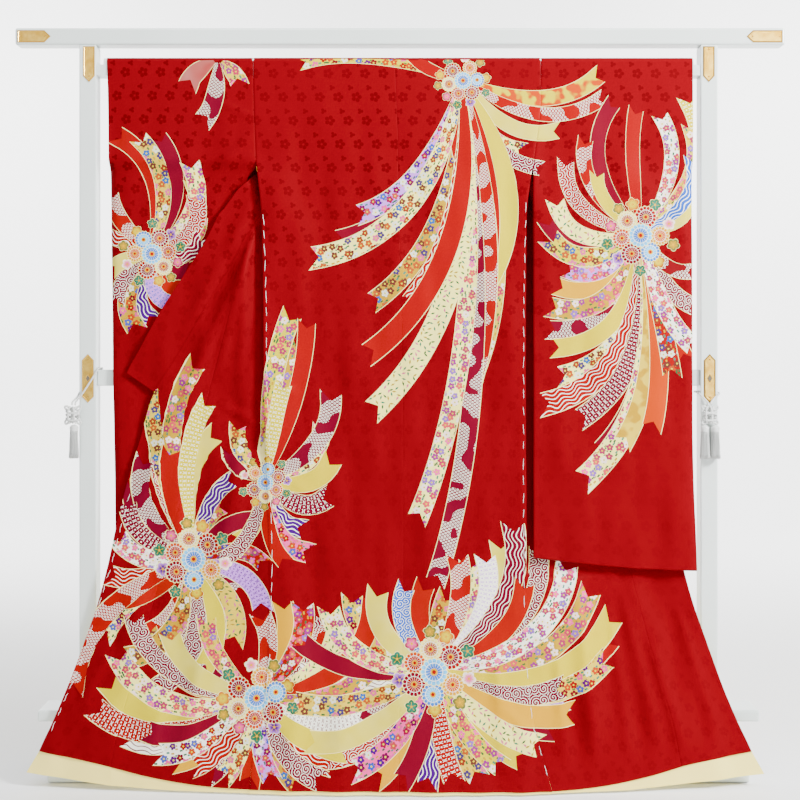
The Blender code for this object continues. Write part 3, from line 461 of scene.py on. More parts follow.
def drawing(mesh, kept, over, places):
    """Each motif's own coordinates and colours on the faces that it covers."""
    total = len(mesh.loops)
    motif_uv, band_uv = np.zeros((total, 2)), np.zeros((total, 2))
    ground, figure = np.ones((total, 4)), np.ones((total, 4))
    starts = np.zeros(len(mesh.polygons), dtype=int)
    mesh.polygons.foreach_get("loop_start", starts)
    corner = np.zeros(total, dtype=int)
    mesh.loops.foreach_get("vertex_index", corner)
    tops = np.array(over)
    for number, motif in enumerate(kept, start=1):
        mine = np.nonzero(tops == number)[0]
        if not len(mine):
            continue
        loops = (starts[mine][:, None] + np.arange(3)[None, :]).ravel()
        at = places[corner[loops]][:, [0, 2]]
        motif_uv[loops], band_uv[loops] = motif["coordinates"](at)
        ground[loops, :3], figure[loops, :3] = motif["ground"], motif["figure"]
    for name, values in (("motif", motif_uv), ("band", band_uv)):
        mesh.uv_layers.new(name=name).data.foreach_set("uv", values.ravel())
    for name, values in (("ground", ground), ("figure", figure)):
        colours = mesh.color_attributes.new(name=name, type="FLOAT_COLOR", domain="CORNER")
        colours.data.foreach_set("color", values.ravel())

# Dyed design
# Bundles of pleated-paper streamers, a common festive motif, worked out by rule: each fans out of a hub of
# chrysanthemums and blossoms, ends in a notch, and holds one small pattern. They lie in the cloth's surface.

DYES = {
    "white": (0.86, 0.84, 0.72), "cream": (0.84, 0.76, 0.20), "beige": (0.60, 0.42, 0.03),
    "gold": (0.42, 0.24, 0.005), "golden": (0.58, 0.30, 0.00), "yellow": (0.56, 0.46, 0.00),
    "orange": (0.46, 0.045, 0.00), "vermilion": (0.27, 0.000, 0.000), "crimson": (0.13, 0.0, 0.012),
    "red": (0.150, 0.0, 0.0035), "pink": (0.74, 0.06, 0.26), "lavender": (0.46, 0.18, 0.66),
    "purple": (0.05, 0.0, 0.14), "blue": (0.014, 0.08, 0.42), "pale_blue": (0.10, 0.48, 0.80),
    "green": (0.014, 0.09, 0.033), "teal": (0.016, 0.16, 0.11), "outline": (0.84, 0.72, 0.26),
}


def mixed(share, first, second):
    """One colour into another, which may be a dye's name, by a share."""
    if isinstance(second, str):
        second = (*DYES[second], 1.0)
    node = add(first.id_data, "ShaderNodeMix", {"data_type": "RGBA"}, i0=share, i6=first, i7=second)
    return node.outputs[2]


def cells(uv, size):
    """Scattered places: coordinates from the nearest one, and two shares that differ at each."""
    tree = uv.id_data
    node = add(tree, "ShaderNodeTexVoronoi", {"voronoi_dimensions": "2D"}, Vector=uv, Scale=1 / size,
               Randomness=0.75)
    away = add(tree, "ShaderNodeVectorMath", {"operation": "SUBTRACT"}, i0=uv, i1=node.outputs["Position"])
    x, y, _ = split(away.outputs[0])
    chance = add(tree, "ShaderNodeSeparateColor", Color=node.outputs["Color"]).outputs
    return x, y, Wire(chance["Red"]), Wire(chance["Green"])


def steps_of(share, *names):
    """One of several dyes, by a share from 0 to 1."""
    ramp = stops(share, *[(i / len(names), DYES[name]) for i, name in enumerate(names)])
    ramp.node.color_ramp.interpolation = "CONSTANT"
    return ramp


def plain(uv, ground, figure):
    return mixed(noise(uv, 22.0, 1.0) * 0.16, ground, figure)


def flowers(uv, ground, figure):
    lx, ly, chance, _ = cells(uv, 0.0180)
    share, far, _ = petals(lx, ly, 0.0082, 5, 0.35)
    tint = steps_of(chance, "vermilion", "pink", "orange", "white", "purple", "blue", "crimson")
    colour = mixed(share < 1.0, ground, mixed(0.25, tint, figure))
    colour = mixed(far < 0.0020, colour, "yellow")
    lx, ly, kind, _ = cells(moved(uv, 0.05, 0.03), 0.0110)
    sprig = (petals(lx, ly, 0.0036, 2, 0.7)[0] < 1.0) * (share > 1.1)
    return mixed(sprig, colour, steps_of(kind, "green", "teal", "gold", "green"))


def dots(uv, ground, figure):
    _, far, _ = petals(*tile(uv, 0.0074, 0.0052), 1.0, 2, 0.0)
    ring = far.through("COMPARE", 0.0017, 0.00060)
    return mixed(ring * (noise(uv, 26.0, 0.0) > 0.47), ground, figure)


def lattice(uv, ground, figure):
    _, far, _ = petals(*tile(uv, 0.0180, 0.0090), 1.0, 2, 0.0)
    line = far.through("COMPARE", 0.0080, 0.0006)
    return mixed(line.through("MAXIMUM", far < 0.0016), ground, figure)


def waves(uv, ground, figure):
    x, y, _ = split(uv)
    swing = (x / 0.0065).through("SINE") * 0.0034
    level = y + swing + noise(uv, 30.0, 1.0) * 0.012
    return mixed((level / 0.0082).through("FRACT") > 0.76, ground, figure)


def scroll(uv, ground, figure):
    lx, ly, _, _ = cells(uv, 0.0190)
    _, far, turn = petals(lx, ly, 1.0, 2, 0.0)
    coil = (far / 0.0052 + turn / (2 * math.pi)).through("FRACT")
    return mixed(coil > 0.76, ground, figure)


def leaves(uv, ground, figure):
    lx, ly, chance, other = cells(uv, 0.0115)
    angle = chance * math.pi
    c, s = angle.through("COSINE"), angle.through("SINE")
    reach = abs(lx * c + ly * s) * (1 / 0.0058) + abs(ly * c - lx * s) * (1 / 0.0021)
    tint = steps_of(other, "green", "teal", "gold", "pink", "green")
    return mixed(reach < 1.0, ground, mixed(0.3, tint, figure))


def cloud(uv, ground, figure):
    return mixed(ranged(noise(uv, 34.0, 1.0), 0.46, 0.54), ground, figure)


def chrysanthemum(uv, ground, figure):
    """Two rings of narrow petals round a yellow heart, the outer ring in the ground's dye."""
    x, y, _ = split(uv)
    share, far, turn = petals(x, y, 1.0, 16, 0.10)
    gap = abs(turn.through("SINE")) > 0.972
    colour = mixed(within(far, 0.30, 0.95), ground, figure)
    for where, dye in ((gap * 0.7, "white"), (far.through("COMPARE", 0.62, 0.022), "white"),
                       (far < 0.26, "golden"), (far < 0.14, "vermilion"), (share > 0.93, "outline")):
        colour = mixed(where, colour, dye)
    return colour


def blossom(uv, ground, figure):
    x, y, _ = split(uv)
    share, far, turn = petals(x, y, 1.0, 5, 0.28)
    vein = abs(turn.through("COSINE")) > 0.985
    colour = mixed(within(far, 0.2, 1.0), ground, figure)
    for where, dye in ((vein * (far < 0.62), "golden"), (far < 0.17, "golden"), (share > 0.92, "outline")):
        colour = mixed(where, colour, dye)
    return colour


def dyed(pattern):
    """A dyed silk with that pattern between the motif's own two colours, streamers with a pale outline."""
    name = "dyed_" + pattern.__name__
    material, tree, shader = shader_of(name, DYES["white"], 0.50, Specular_IOR_Level=0.05)
    uv = places(tree, "motif")
    ground, figure = (add(tree, "ShaderNodeAttribute", {"attribute_name": name}).outputs["Color"]
                      for name in ("ground", "figure"))
    colour = pattern(uv, ground, figure)
    if pattern not in (chrysanthemum, blossom):
        off = abs(split(places(tree, "band"))[1].through("MULTIPLY_ADD", 2.0, -1.0))
        colour = mixed(off > 0.935, colour, "outline")
    tree.links.new(colour, shader.inputs["Base Color"])
    crepe(shader, 0.08)
    return material


FILLS = {pattern.__name__: dyed(pattern) for pattern in
         (plain, flowers, dots, lattice, waves, scroll, leaves, cloud, chrysanthemum, blossom)}

# Streamers: their start's distance from the hub and their points' spacing, then shares of the length and of
# the bend at the two points that lead the curve, of the width at the root, and of the length where it is full
HUB_GAP = 0.012
STREAMER_STEP = 0.013
LEADS = ((0.33, 0.9), (0.70, 1.1))
ROOT_WIDTH = 0.24
GROWN_AT = 0.6
WIDER_AT_END = 0.10
# How far the corners, and the notch between them, reach past the end, as shares of the width
NOTCH = (0.45, -0.15, 0.15)


def motif(hub, outline, coordinates, look):
    """A dyed motif. Its look is the pattern, the ground's dye and the figure's dye, as three words."""
    fill, ground, figure = look.split()
    return {"outline": outline, "coordinates": coordinates, "material": FILLS[fill], "ground": DYES[ground],
            "figure": DYES[figure], "on": DRAWN_ON.get(hub, BODY)}


def ribbon(hub, end, bend, width, look):
    """A streamer from its hub to its notched end: its outline, and its own lengthwise coordinates."""
    start, end = np.array(HUBS[hub]), np.array(end)
    away = end - start
    length = float(np.linalg.norm(away))
    aside = np.array((-away[1], away[0]))
    start = start + away * (HUB_GAP / length)
    m1, m2 = (start + away * along + aside * bend * share for along, share in LEADS)
    t = np.linspace(0, 1, max(10, round(length / STREAMER_STEP)))[:, None]
    line = start * (1 - t) ** 3 + m1 * 3 * (1 - t) ** 2 * t + m2 * 3 * (1 - t) * t**2 + end * t**3
    step = np.gradient(line, axis=0)
    step /= np.linalg.norm(step, axis=1, keepdims=True)
    normal = np.stack((-step[:, 1], step[:, 0]), axis=1)
    grown = np.clip(t[:, 0] / GROWN_AT, 0, 1)
    half = width / 2 * (ROOT_WIDTH + (1 - ROOT_WIDTH) * grown * (2 - grown))
    half *= 1 + WIDER_AT_END * t[:, 0] ** 4
    left, right = line + normal * half[:, None], line - normal * half[:, None]
    tips = [edge[-1] + step[-1] * width * out for edge, out in zip((left, line, right), NOTCH)]
    span = np.diff(line, axis=0)
    reach = (span**2).sum(axis=1)
    run = np.concatenate(([0.0], np.cumsum(np.sqrt(reach))))

    def coordinates(at):
        from_each = at[:, None, :] - line[None, :-1, :]
        share = (from_each * span[None]).sum(axis=2) / reach
        share[:, :-1] = np.clip(share[:, :-1], 0, 1)
        share[:, -1] = np.clip(share[:, -1], 0, 8)
        off = from_each - share[:, :, None] * span[None]
        k = np.linalg.norm(off, axis=2).argmin(axis=1)
        n = np.arange(len(at))
        along = run[k] + share[n, k] * np.sqrt(reach[k])
        side = (off[n, k] * normal[k]).sum(axis=1) / np.interp(along, run, half)
        return (np.stack((along, side * width / 2), axis=1),
                np.stack((along / run[-1], np.clip(side * 0.5 + 0.5, 0, 1)), axis=1))

    return motif(hub, [tuple(p) for p in (*left, *tips, *right[::-1])], coordinates, look)


def flower(hub, out, turned, radius, look):
    """A flower round a hub: a scalloped outline, and coordinates from its middle."""
    x, z = HUBS[hub][0] + out * math.cos(turned), HUBS[hub][1] + out * math.sin(turned)
    count, depth = (5, 0.28) if look.startswith("blossom") else (16, 0.10)
    outline = []
    for i in range(count * 6):
        a = 2 * math.pi * i / (count * 6)
        r = radius * (1 - depth + depth * abs(math.cos(a * count / 2)))
        outline.append((x + r * math.cos(a + turned), z + r * math.sin(a + turned)))

    def coordinates(at):
        u, v = (at[:, 0] - x) / radius, (at[:, 1] - z) / radius
        c, s = math.cos(-turned), math.sin(-turned)
        return np.stack((u * c - v * s, u * s + v * c), axis=1), np.full((len(at), 2), 0.5)

    return motif(hub, outline, coordinates, look)


# The picture's columns and rows, and the cloth in it: the camera's column and row, its focal length in
# pixels, its height and distance, and how far the cloth swings forward between the camera's row and the hem
MIDDLE_COLUMN = 398.5
EYE_ROW = 345
FOCUS = 1333
EYE_HEIGHT = 0.970
EYE_DISTANCE = 3
CLOTH_DEPTH = -0.03
HEM_SWING = 0.10
ROWS_TO_HEM = 450
STREAMER_PIXEL = 0.00245


def on_cloth(column, row):
    """A place in the picture as x and z on the hanging cloth, to the nearest millimetre."""
    far = EYE_DISTANCE + (CLOTH_DEPTH - HEM_SWING * (max(row - EYE_ROW, 0) / ROWS_TO_HEM) ** 2)
    x = (column - MIDDLE_COLUMN) / FOCUS * far
    return round(x, 3), round(EYE_HEIGHT - (row - EYE_ROW) / FOCUS * far, 3)


# Hubs of the bundles
HUBS = {
    "over_sleeve": on_cloth(218, 57),
    "shoulder": on_cloth(463, 80),
    "right_sleeve": on_cloth(640, 236),
    "left_sleeve": on_cloth(151, 254),
    "left_front": on_cloth(193, 560),
    "side": on_cloth(266, 482),
    "hem_left": on_cloth(256, 700),
    "hem_middle": on_cloth(434, 673),
}
BODY = ("back_left", "back_right", "front_left", "front_right", "okumi_left", "okumi_right")
DRAWN_ON = {"shoulder": (*BODY, "sleeve_left", "sleeve_right"), "left_sleeve": ("sleeve_left",),
            "over_sleeve": ("sleeve_left",), "right_sleeve": ("sleeve_right",)}
# Streamers laid out, the lower ones first: the end's column and row in the picture, bend to the left,
# width in the picture, then pattern, ground dye and figure dye
STREAMERS = (
    ("over_sleeve", (
        (189, 82, -0.1, 17, "plain vermilion white"), (205, 118, 0.1, 17, "dots crimson white"),
        (238, 80, 0.05, 15, "flowers beige pink"),
    )),
    ("left_front", (
        (214, 436, 0.18, 17, "plain yellow white"), (160, 424, 0.1, 16, "scroll vermilion white"),
        (132, 484, 0.22, 17, "plain crimson vermilion"), (112, 578, 0.12, 17, "waves vermilion white"),
        (142, 636, 0.2, 17, "dots vermilion white"), (180, 640, 0.22, 16, "flowers cream pink"),
        (218, 610, 0.2, 16, "plain vermilion crimson"), (240, 590, 0.2, 16, "dots crimson white"),
        (222, 506, 0.14, 15, "flowers gold pink"),
    )),
    ("side", (
        (300, 350, 0.02, 16, "flowers gold pink"), (322, 430, -0.22, 16, "flowers cream green"),
        (300, 528, -0.22, 16, "waves purple white"), (240, 540, 0.14, 15, "plain yellow orange"),
        (232, 452, 0.16, 15, "plain crimson vermilion"),
    )),
    ("hem_left", (
        (108, 690, 0.24, 18, "plain yellow gold"), (130, 742, 0.18, 18, "waves white crimson"),
        (178, 764, 0.12, 17, "plain golden orange"), (212, 774, 0.1, 17, "dots crimson white"),
        (250, 780, 0.02, 17, "plain vermilion orange"), (296, 782, -0.1, 17, "flowers gold green"),
        (330, 766, -0.14, 17, "waves vermilion white"), (354, 736, -0.16, 18, "flowers beige crimson"),
        (372, 690, -0.2, 18, "dots vermilion white"), (350, 648, -0.22, 18, "plain yellow orange"),
        (318, 616, -0.2, 17, "scroll crimson white"), (284, 606, -0.16, 17, "plain golden orange"),
        (188, 628, 0.16, 16, "dots crimson white"), (146, 634, 0.22, 17, "flowers gold green"),
    )),
    ("hem_middle", (
        (316, 628, 0.2, 17, "dots vermilion white"), (352, 600, 0.24, 17, "flowers beige crimson"),
        (424, 588, 0.12, 17, "plain vermilion orange"), (470, 566, -0.14, 17, "flowers cream pink"),
        (500, 546, -0.2, 17, "plain yellow white"), (540, 556, -0.24, 17, "scroll crimson white"),
        (590, 596, -0.24, 19, "flowers gold pink"), (610, 644, -0.22, 19, "plain vermilion crimson"),
        (584, 680, -0.18, 18, "dots vermilion white"), (566, 702, -0.14, 18, "lattice lavender purple"),
        (552, 732, -0.12, 18, "plain crimson vermilion"), (518, 758, -0.1, 18, "plain yellow orange"),
        (476, 774, -0.06, 17, "flowers beige green"), (428, 780, 0.02, 17, "waves purple white"),
        (380, 776, 0.12, 17, "plain golden orange"), (332, 758, 0.16, 18, "scroll vermilion white"),
        (300, 724, 0.14, 18, "dots crimson white"), (298, 672, 0.12, 17, "waves white crimson"),
    )),
    ("right_sleeve", (
        (566, 164, 0.26, 14, "scroll vermilion white"), (548, 224, 0.28, 15, "plain crimson vermilion"),
        (560, 288, 0.28, 15, "plain golden orange"), (552, 330, 0.28, 16, "dots crimson white"),
        (562, 376, 0.26, 17, "flowers cream green"), (604, 448, 0.16, 18, "plain crimson vermilion"),
        (638, 412, 0.1, 16, "waves vermilion white"), (684, 356, -0.04, 15, "plain vermilion orange"),
        (692, 306, -0.14, 15, "scroll crimson white"), (692, 196, -0.22, 13, "plain yellow white"),
        (636, 112, 0.05, 13, "plain vermilion crimson"),
    )),
    ("left_sleeve", (
        (160, 140, -0.22, 15, "plain crimson vermilion"), (194, 184, -0.28, 15, "plain yellow gold"),
        (198, 220, -0.28, 15, "flowers gold pink"), (178, 288, -0.25, 14, "plain vermilion orange"),
        (150, 318, -0.25, 15, "waves purple white"),
    )),
    ("shoulder", (
        (480, 130, 0.05, 14, "flowers gold pink"), (520, 150, -0.2, 14, "flowers cream green"),
        (340, 240, 0.2, 17, "plain crimson vermilion"), (376, 300, 0.16, 17, "flowers gold green"),
        (474, 372, 0.12, 18, "flowers beige pink"), (304, 62, -0.1, 12, "flowers yellow red"),
        (416, 58, 0.1, 12, "plain vermilion crimson"), (598, 76, -0.2, 15, "cloud yellow orange"),
        (601, 99, -0.22, 13, "dots vermilion white"), (556, 131, -0.22, 14, "plain yellow white"),
        (538, 168, -0.2, 13, "scroll crimson white"), (499, 199, -0.24, 18, "plain vermilion red"),
        (487, 281, 0.2, 19, "plain yellow gold"), (466, 326, 0.14, 17, "plain vermilion red"),
        (462, 408, 0.1, 20, "dots vermilion white"), (437, 578, 0.07, 17, "dots crimson white"),
        (419, 515, 0.08, 17, "flowers cream pink"), (411, 300, 0.12, 15, "waves vermilion white"),
        (376, 408, 0.16, 20, "leaves cream green"), (371, 352, 0.18, 19, "plain vermilion crimson"),
        (362, 214, 0.16, 17, "flowers lavender purple"), (316, 258, 0.22, 19, "flowers cream green"),
    )),
    ("right_sleeve", (
        (612, 105, 0.25, 14, "plain crimson vermilion"), (690, 101, -0.26, 17, "lattice yellow white"),
        (662, 118, -0.2, 13, "flowers white pink"), (691, 128, -0.22, 14, "flowers beige pink"),
        (692, 160, -0.25, 13, "waves blue white"), (585, 142, 0.2, 13, "dots vermilion white"),
        (597, 176, 0.15, 12, "plain yellow gold"), (556, 204, 0.3, 15, "leaves cream green"),
        (551, 241, 0.28, 18, "flowers yellow green"), (568, 272, 0.25, 13, "flowers lavender pink"),
        (553, 308, 0.3, 17, "flowers gold pink"), (556, 348, 0.28, 16, "plain yellow orange"),
        (546, 404, 0.26, 20, "waves vermilion white"), (583, 417, 0.2, 18, "lattice crimson white"),
        (586, 478, 0.18, 21, "flowers cream pink"), (624, 440, 0.12, 17, "cloud beige gold"),
        (652, 424, 0.08, 17, "plain orange vermilion"), (671, 372, 0.02, 16, "flowers vermilion green"),
        (691, 345, -0.1, 16, "flowers white pink"), (690, 272, -0.2, 13, "dots red white"),
    )),
    ("left_sleeve", (
        (119, 137, -0.24, 17, "plain vermilion crimson"), (141, 141, -0.2, 15, "flowers beige green"),
        (191, 166, -0.26, 16, "flowers cream pink"), (196, 200, -0.3, 15, "scroll vermilion white"),
        (201, 238, -0.28, 15, "waves crimson white"), (187, 270, -0.25, 13, "plain crimson vermilion"),
        (168, 303, -0.25, 14, "lattice lavender blue"), (134, 326, -0.25, 17, "flowers gold crimson"),
        (116, 300, -0.15, 14, "scroll crimson white"), (112, 268, -0.1, 14, "plain yellow white"),
        (108, 236, 0.0, 13, "waves vermilion white"), (109, 196, 0.1, 15, "dots vermilion white"),
    )),
    ("left_front", (
        (196, 366, 0.16, 17, "flowers gold pink"), (207, 404, 0.12, 15, "lattice yellow white"),
        (150, 392, 0.05, 15, "flowers beige green"), (172, 452, 0.1, 16, "plain vermilion crimson"),
        (145, 462, 0.24, 17, "dots crimson white"), (128, 506, 0.22, 16, "lattice crimson white"),
        (119, 540, 0.2, 18, "flowers white pink"), (103, 634, -0.1, 20, "flowers cream crimson"),
        (118, 602, 0.12, 16, "plain vermilion orange"), (128, 660, 0.24, 19, "flowers gold green"),
        (158, 690, 0.22, 18, "scroll crimson white"), (204, 668, 0.2, 17, "plain yellow gold"),
        (234, 640, 0.2, 17, "leaves beige green"), (262, 606, 0.22, 17, "lattice lavender purple"),
        (262, 562, 0.2, 15, "flowers vermilion blue"), (250, 520, 0.16, 15, "plain crimson vermilion"),
        (232, 480, 0.14, 14, "waves purple white"), (70, 690, -0.2, 19, "dots vermilion white"),
    )),
    ("side", (
        (291, 318, 0.06, 18, "flowers yellow pink"), (307, 326, -0.06, 15, "plain vermilion crimson"),
        (284, 386, 0.02, 14, "lattice yellow white"), (331, 398, -0.2, 18, "dots crimson white"),
        (331, 462, -0.24, 18, "plain yellow orange"), (326, 498, -0.26, 18, "lattice crimson white"),
        (306, 552, -0.24, 17, "flowers pink crimson"), (284, 560, -0.12, 14, "plain vermilion red"),
        (238, 428, 0.14, 14, "flowers beige green"), (222, 560, 0.16, 14, "scroll crimson white"),
    )),
    ("hem_left", (
        (96, 714, 0.22, 19, "lattice vermilion white"), (118, 660, 0.26, 19, "flowers cream pink"),
        (149, 735, 0.16, 18, "plain crimson vermilion"), (160, 757, 0.14, 17, "flowers white crimson"),
        (134, 622, 0.22, 16, "scroll crimson white"), (170, 640, 0.18, 17, "plain yellow white"),
        (206, 622, 0.14, 16, "flowers beige pink"), (262, 618, -0.14, 17, "dots vermilion white"),
        (303, 608, -0.18, 18, "flowers vermilion pink"), (338, 628, -0.22, 19, "leaves cream green"),
        (372, 606, -0.26, 18, "plain vermilion orange"), (376, 660, -0.22, 18, "flowers gold pink"),
        (362, 718, -0.16, 18, "lattice white crimson"), (345, 752, -0.12, 18, "plain yellow gold"),
        (318, 779, -0.14, 17, "scroll crimson white"), (270, 776, -0.08, 16, "flowers lavender purple"),
        (226, 776, 0.08, 16, "flowers cream green"), (196, 769, 0.12, 15, "waves vermilion white"),
    )),
    ("hem_middle", (
        (303, 644, 0.14, 16, "plain crimson vermilion"), (330, 612, 0.24, 18, "flowers cream pink"),
        (377, 594, 0.24, 18, "plain yellow white"), (405, 590, 0.2, 16, "scroll blue white"),
        (446, 598, 0.06, 17, "flowers gold green"), (458, 560, -0.12, 18, "dots vermilion white"),
        (486, 560, -0.2, 17, "lattice white lavender"), (513, 528, -0.22, 19, "waves crimson white"),
        (524, 586, -0.2, 17, "plain vermilion orange"), (568, 570, -0.24, 19, "flowers white pink"),
        (612, 622, -0.24, 20, "plain yellow orange"), (606, 664, -0.22, 18, "flowers beige crimson"),
        (560, 690, -0.14, 18, "scroll crimson white"), (570, 716, -0.14, 19, "plain golden orange"),
        (536, 746, -0.1, 18, "leaves cream green"), (498, 765, -0.1, 17, "flowers yellow pink"),
        (452, 776, -0.05, 17, "lattice vermilion white"), (404, 778, 0.08, 17, "plain crimson vermilion"),
        (356, 770, 0.14, 18, "flowers pink purple"), (312, 744, 0.16, 18, "plain yellow white"),
        (296, 704, 0.12, 18, "flowers beige green"),
    )),
)
# Flowers round a hub: distance out, turn in degrees, radius, then pattern, ground dye and figure dye
POSY = (
    (0.066, 10, 0.013, "blossom green teal"),
    (0.067, 75, 0.012, "blossom green gold"),
    (0.066, 140, 0.013, "blossom teal green"),
    (0.068, 215, 0.012, "blossom green teal"),
    (0.066, 290, 0.013, "blossom green gold"),
    (0.062, 50, 0.014, "blossom orange yellow"),
    (0.060, 108, 0.013, "blossom crimson pink"),
    (0.060, 172, 0.014, "blossom lavender purple"),
    (0.061, 250, 0.014, "blossom vermilion yellow"),
    (0.060, 328, 0.013, "blossom white pink"),
    (0.037, 20, 0.022, "chrysanthemum vermilion crimson"),
    (0.038, 78, 0.020, "chrysanthemum cream vermilion"),
    (0.036, 134, 0.019, "chrysanthemum orange vermilion"),
    (0.039, 190, 0.021, "chrysanthemum crimson vermilion"),
    (0.037, 246, 0.020, "chrysanthemum blue pale_blue"),
    (0.038, 305, 0.019, "chrysanthemum golden orange"),
    (0.000, 0, 0.024, "chrysanthemum pale_blue blue"),
)
POSY_SIZES = {"shoulder": 0.85, "right_sleeve": 1.15, "left_sleeve": 1.0, "left_front": 1.2, "side": 0.8,
              "hem_left": 1.2, "hem_middle": 1.3}
motifs = [ribbon(hub, on_cloth(column, row), bend, round(width * STREAMER_PIXEL, 3), look)
          for hub, bundle in STREAMERS for column, row, bend, width, look in bundle]
for hub, size in POSY_SIZES.items():
    spin = rng.uniform(0, 360)
    for out, turned, radius, look in POSY:
        motifs.append(flower(hub, out * size, math.radians(turned + spin), radius * size, look))

# Back panels
# Two straight panels of the bolt, joined by the centre back seam, laid over the rail and hanging to the hem,
# where they open into soft flutes. They are sewn to the fronts at their sides and basted for show.

WALL = 0.0015
GAP = 0.0003
SEAM = 0.00035
BEHIND = 0.0021
RAIL_TOP = 1.6113
RAIL_BOTTOM = 1.5725
RAIL_HALF_DEPTH = 0.020
RAIL_EDGE = 0.006
RAIL_STEPS = 8
FRONT_OF_RAIL = 2 * RAIL_STEPS + 1
ROW_STEP = 0.008
LAST_EVEN_ROW = 0.045
BACK_WIDTH = 0.312
BACK_LENGTH = 1.68


def read(table, column, at):
    """A table's column read smoothly at a height, on a curve through its rows that never overshoots."""
    keys = [-row[0] for row in table]
    values = [row[column] for row in table]
    at = min(max(-at, keys[0]), keys[-1])
    i = min(max(int(np.searchsorted(keys, at)) - 1, 0), len(keys) - 2)
    slopes = [(values[k + 1] - values[k]) / (keys[k + 1] - keys[k]) for k in range(len(keys) - 1)]

    def lean(k):
        if k == 0 or k == len(keys) - 1:
            return slopes[min(k, len(slopes) - 1)]
        before, after = slopes[k - 1], slopes[k]
        if before * after <= 0:
            return 0.0
        return 2 * before * after / (before + after)

    width = keys[i + 1] - keys[i]
    t = (at - keys[i]) / width
    rise = (2 * t**3 - 3 * t**2 + 1) * values[i] + (3 * t**2 - 2 * t**3) * values[i + 1]
    return rise + width * ((t**3 - 2 * t**2 + t) * lean(i) + (t**3 - t**2) * lean(i + 1))


# Back panels: height, depth, left edge, centre seam, right edge, left swell, right swell
BACK = (
    (1.6053, -0.02105, -0.325, -0.008, 0.318, 0.000, 0.000),
    (1.5170, -0.0240, -0.323, -0.005, 0.318, 0.000, 0.000),
    (1.4050, -0.0278, -0.318, -0.001, 0.305, 0.000, 0.000),
    (1.3860, -0.0285, -0.317, -0.001, 0.302, 0.002, 0.000),
    (1.3310, -0.0300, -0.311, 0.000, 0.293, 0.012, 0.003),
    (1.2600, -0.0325, -0.304, 0.002, 0.285, 0.014, 0.006),
    (1.0700, -0.0370, -0.299, 0.006, 0.283, 0.013, 0.006),
    (0.8920, -0.0415, -0.297, 0.009, 0.282, 0.012, 0.006),
    (0.7260, -0.0460, -0.292, 0.011, 0.282, 0.011, 0.006),
    (0.4940, -0.0540, -0.284, 0.011, 0.281, 0.009, 0.005),
    (0.3200, -0.0640, -0.286, 0.009, 0.283, 0.007, 0.004),
    (0.2150, -0.0740, -0.291, 0.005, 0.287, 0.005, 0.004),
    (0.1330, -0.0880, -0.303, 0.001, 0.299, 0.003, 0.003),
    (0.0650, -0.1080, -0.318, 0.000, 0.317, 0.001, 0.001),
    (0.0120, -0.1320, -0.321, 0.001, 0.331, 0.000, 0.000),
)
DEPTH, LEFT, CENTRE, RIGHT, LEFT_SWELL, RIGHT_SWELL = 1, 2, 3, 4, 5, 6
SWELL_REACH = 0.13
# Soft flutes that open towards the hem: place across at the hem, half width, height
FLUTES = (
    (-0.235, 0.032, 0.0050),
    (-0.130, 0.040, 0.0065),
    (-0.030, 0.030, 0.0040),
    (0.075, 0.045, 0.0070),
    (0.170, 0.032, 0.0050),
    (0.262, 0.030, 0.0060),
)
FLUTE_TOP = 0.95
FLUTE_LOW = 0.01
# Lower edge of the red cloth and of its cream lining: place across, depth, height of each
HEM = (
    (-0.788, -0.0780, 0.0790, 0.0320),
    (-0.628, -0.0980, 0.0513, 0.0105),
    (-0.492, -0.1120, 0.0211, 0.0036),
    (-0.321, -0.1280, 0.0113, 0.0028),
    (-0.200, -0.1330, 0.0105, 0.0026),
    (0.001, -0.1350, 0.0100, 0.0024),
    (0.200, -0.1340, 0.0082, 0.0024),
    (0.331, -0.1290, 0.0074, 0.0026),
    (0.500, -0.1120, 0.0180, 0.0040),
    (0.618, -0.0970, 0.0380, 0.0130),
    (0.774, -0.0780, 0.0585, 0.0295),
)
LINING_OUT = 0.028
LINING_STEP = 0.0024
LINING_FORWARD = 0.0006
LINING_ROWS = 7
LINING_FREE_ROWS = 3
# Soft folds: x and z at both ends, half width, height
BACK_CREASES = (
    (-0.210, 0.330, -0.235, 0.050, 0.016, 0.0054),
    (0.050, 0.300, 0.030, 0.050, 0.018, 0.0049),
    (0.210, 0.300, 0.230, 0.050, 0.015, 0.0054),
    (-0.285, 0.900, -0.225, 0.858, 0.010, 0.0035),
    (-0.270, 0.700, -0.180, 0.620, 0.014, 0.0026),
    (0.235, 0.180, 0.300, 0.080, 0.016, 0.0047),
    (0.120, 0.220, 0.165, 0.060, 0.014, 0.0039),
    (-0.290, 0.240, -0.225, 0.070, 0.014, 0.0043),
)


def hem(x, column):
    """A column of the hem's table at a place across."""
    return float(np.interp(x, [row[0] for row in HEM], [row[column] for row in HEM]))


def ease(t):
    """A smooth step from 0 to 1."""
    t = min(max(t, 0.0), 1.0)
    return t * t * (3 - 2 * t)


def flute(x, z):
    """How far the flutes bring the back towards -Y."""
    grown = ease((FLUTE_TOP - z) / FLUTE_TOP) ** 1.5
    return grown * sum(h * math.exp(-(((x - at) / half) ** 2)) for at, half, h in FLUTES)


def hem_point(x, behind=0.0):
    """A point of the red cloth's lower edge, or that far behind it."""
    return Vector((x, hem(x, 1) - flute(x, FLUTE_LOW) + behind, hem(x, 2)))


def back_depth(x, z):
    """The depth of the back panels' middle surface."""
    left, right = read(BACK, LEFT, z), read(BACK, RIGHT, z)
    swell = read(BACK, LEFT_SWELL, z) * ease(1 - (x - left) / SWELL_REACH)
    swell += read(BACK, RIGHT_SWELL, z) * ease(1 - (right - x) / SWELL_REACH)
    return read(BACK, DEPTH, z) - swell - flute(x, z)


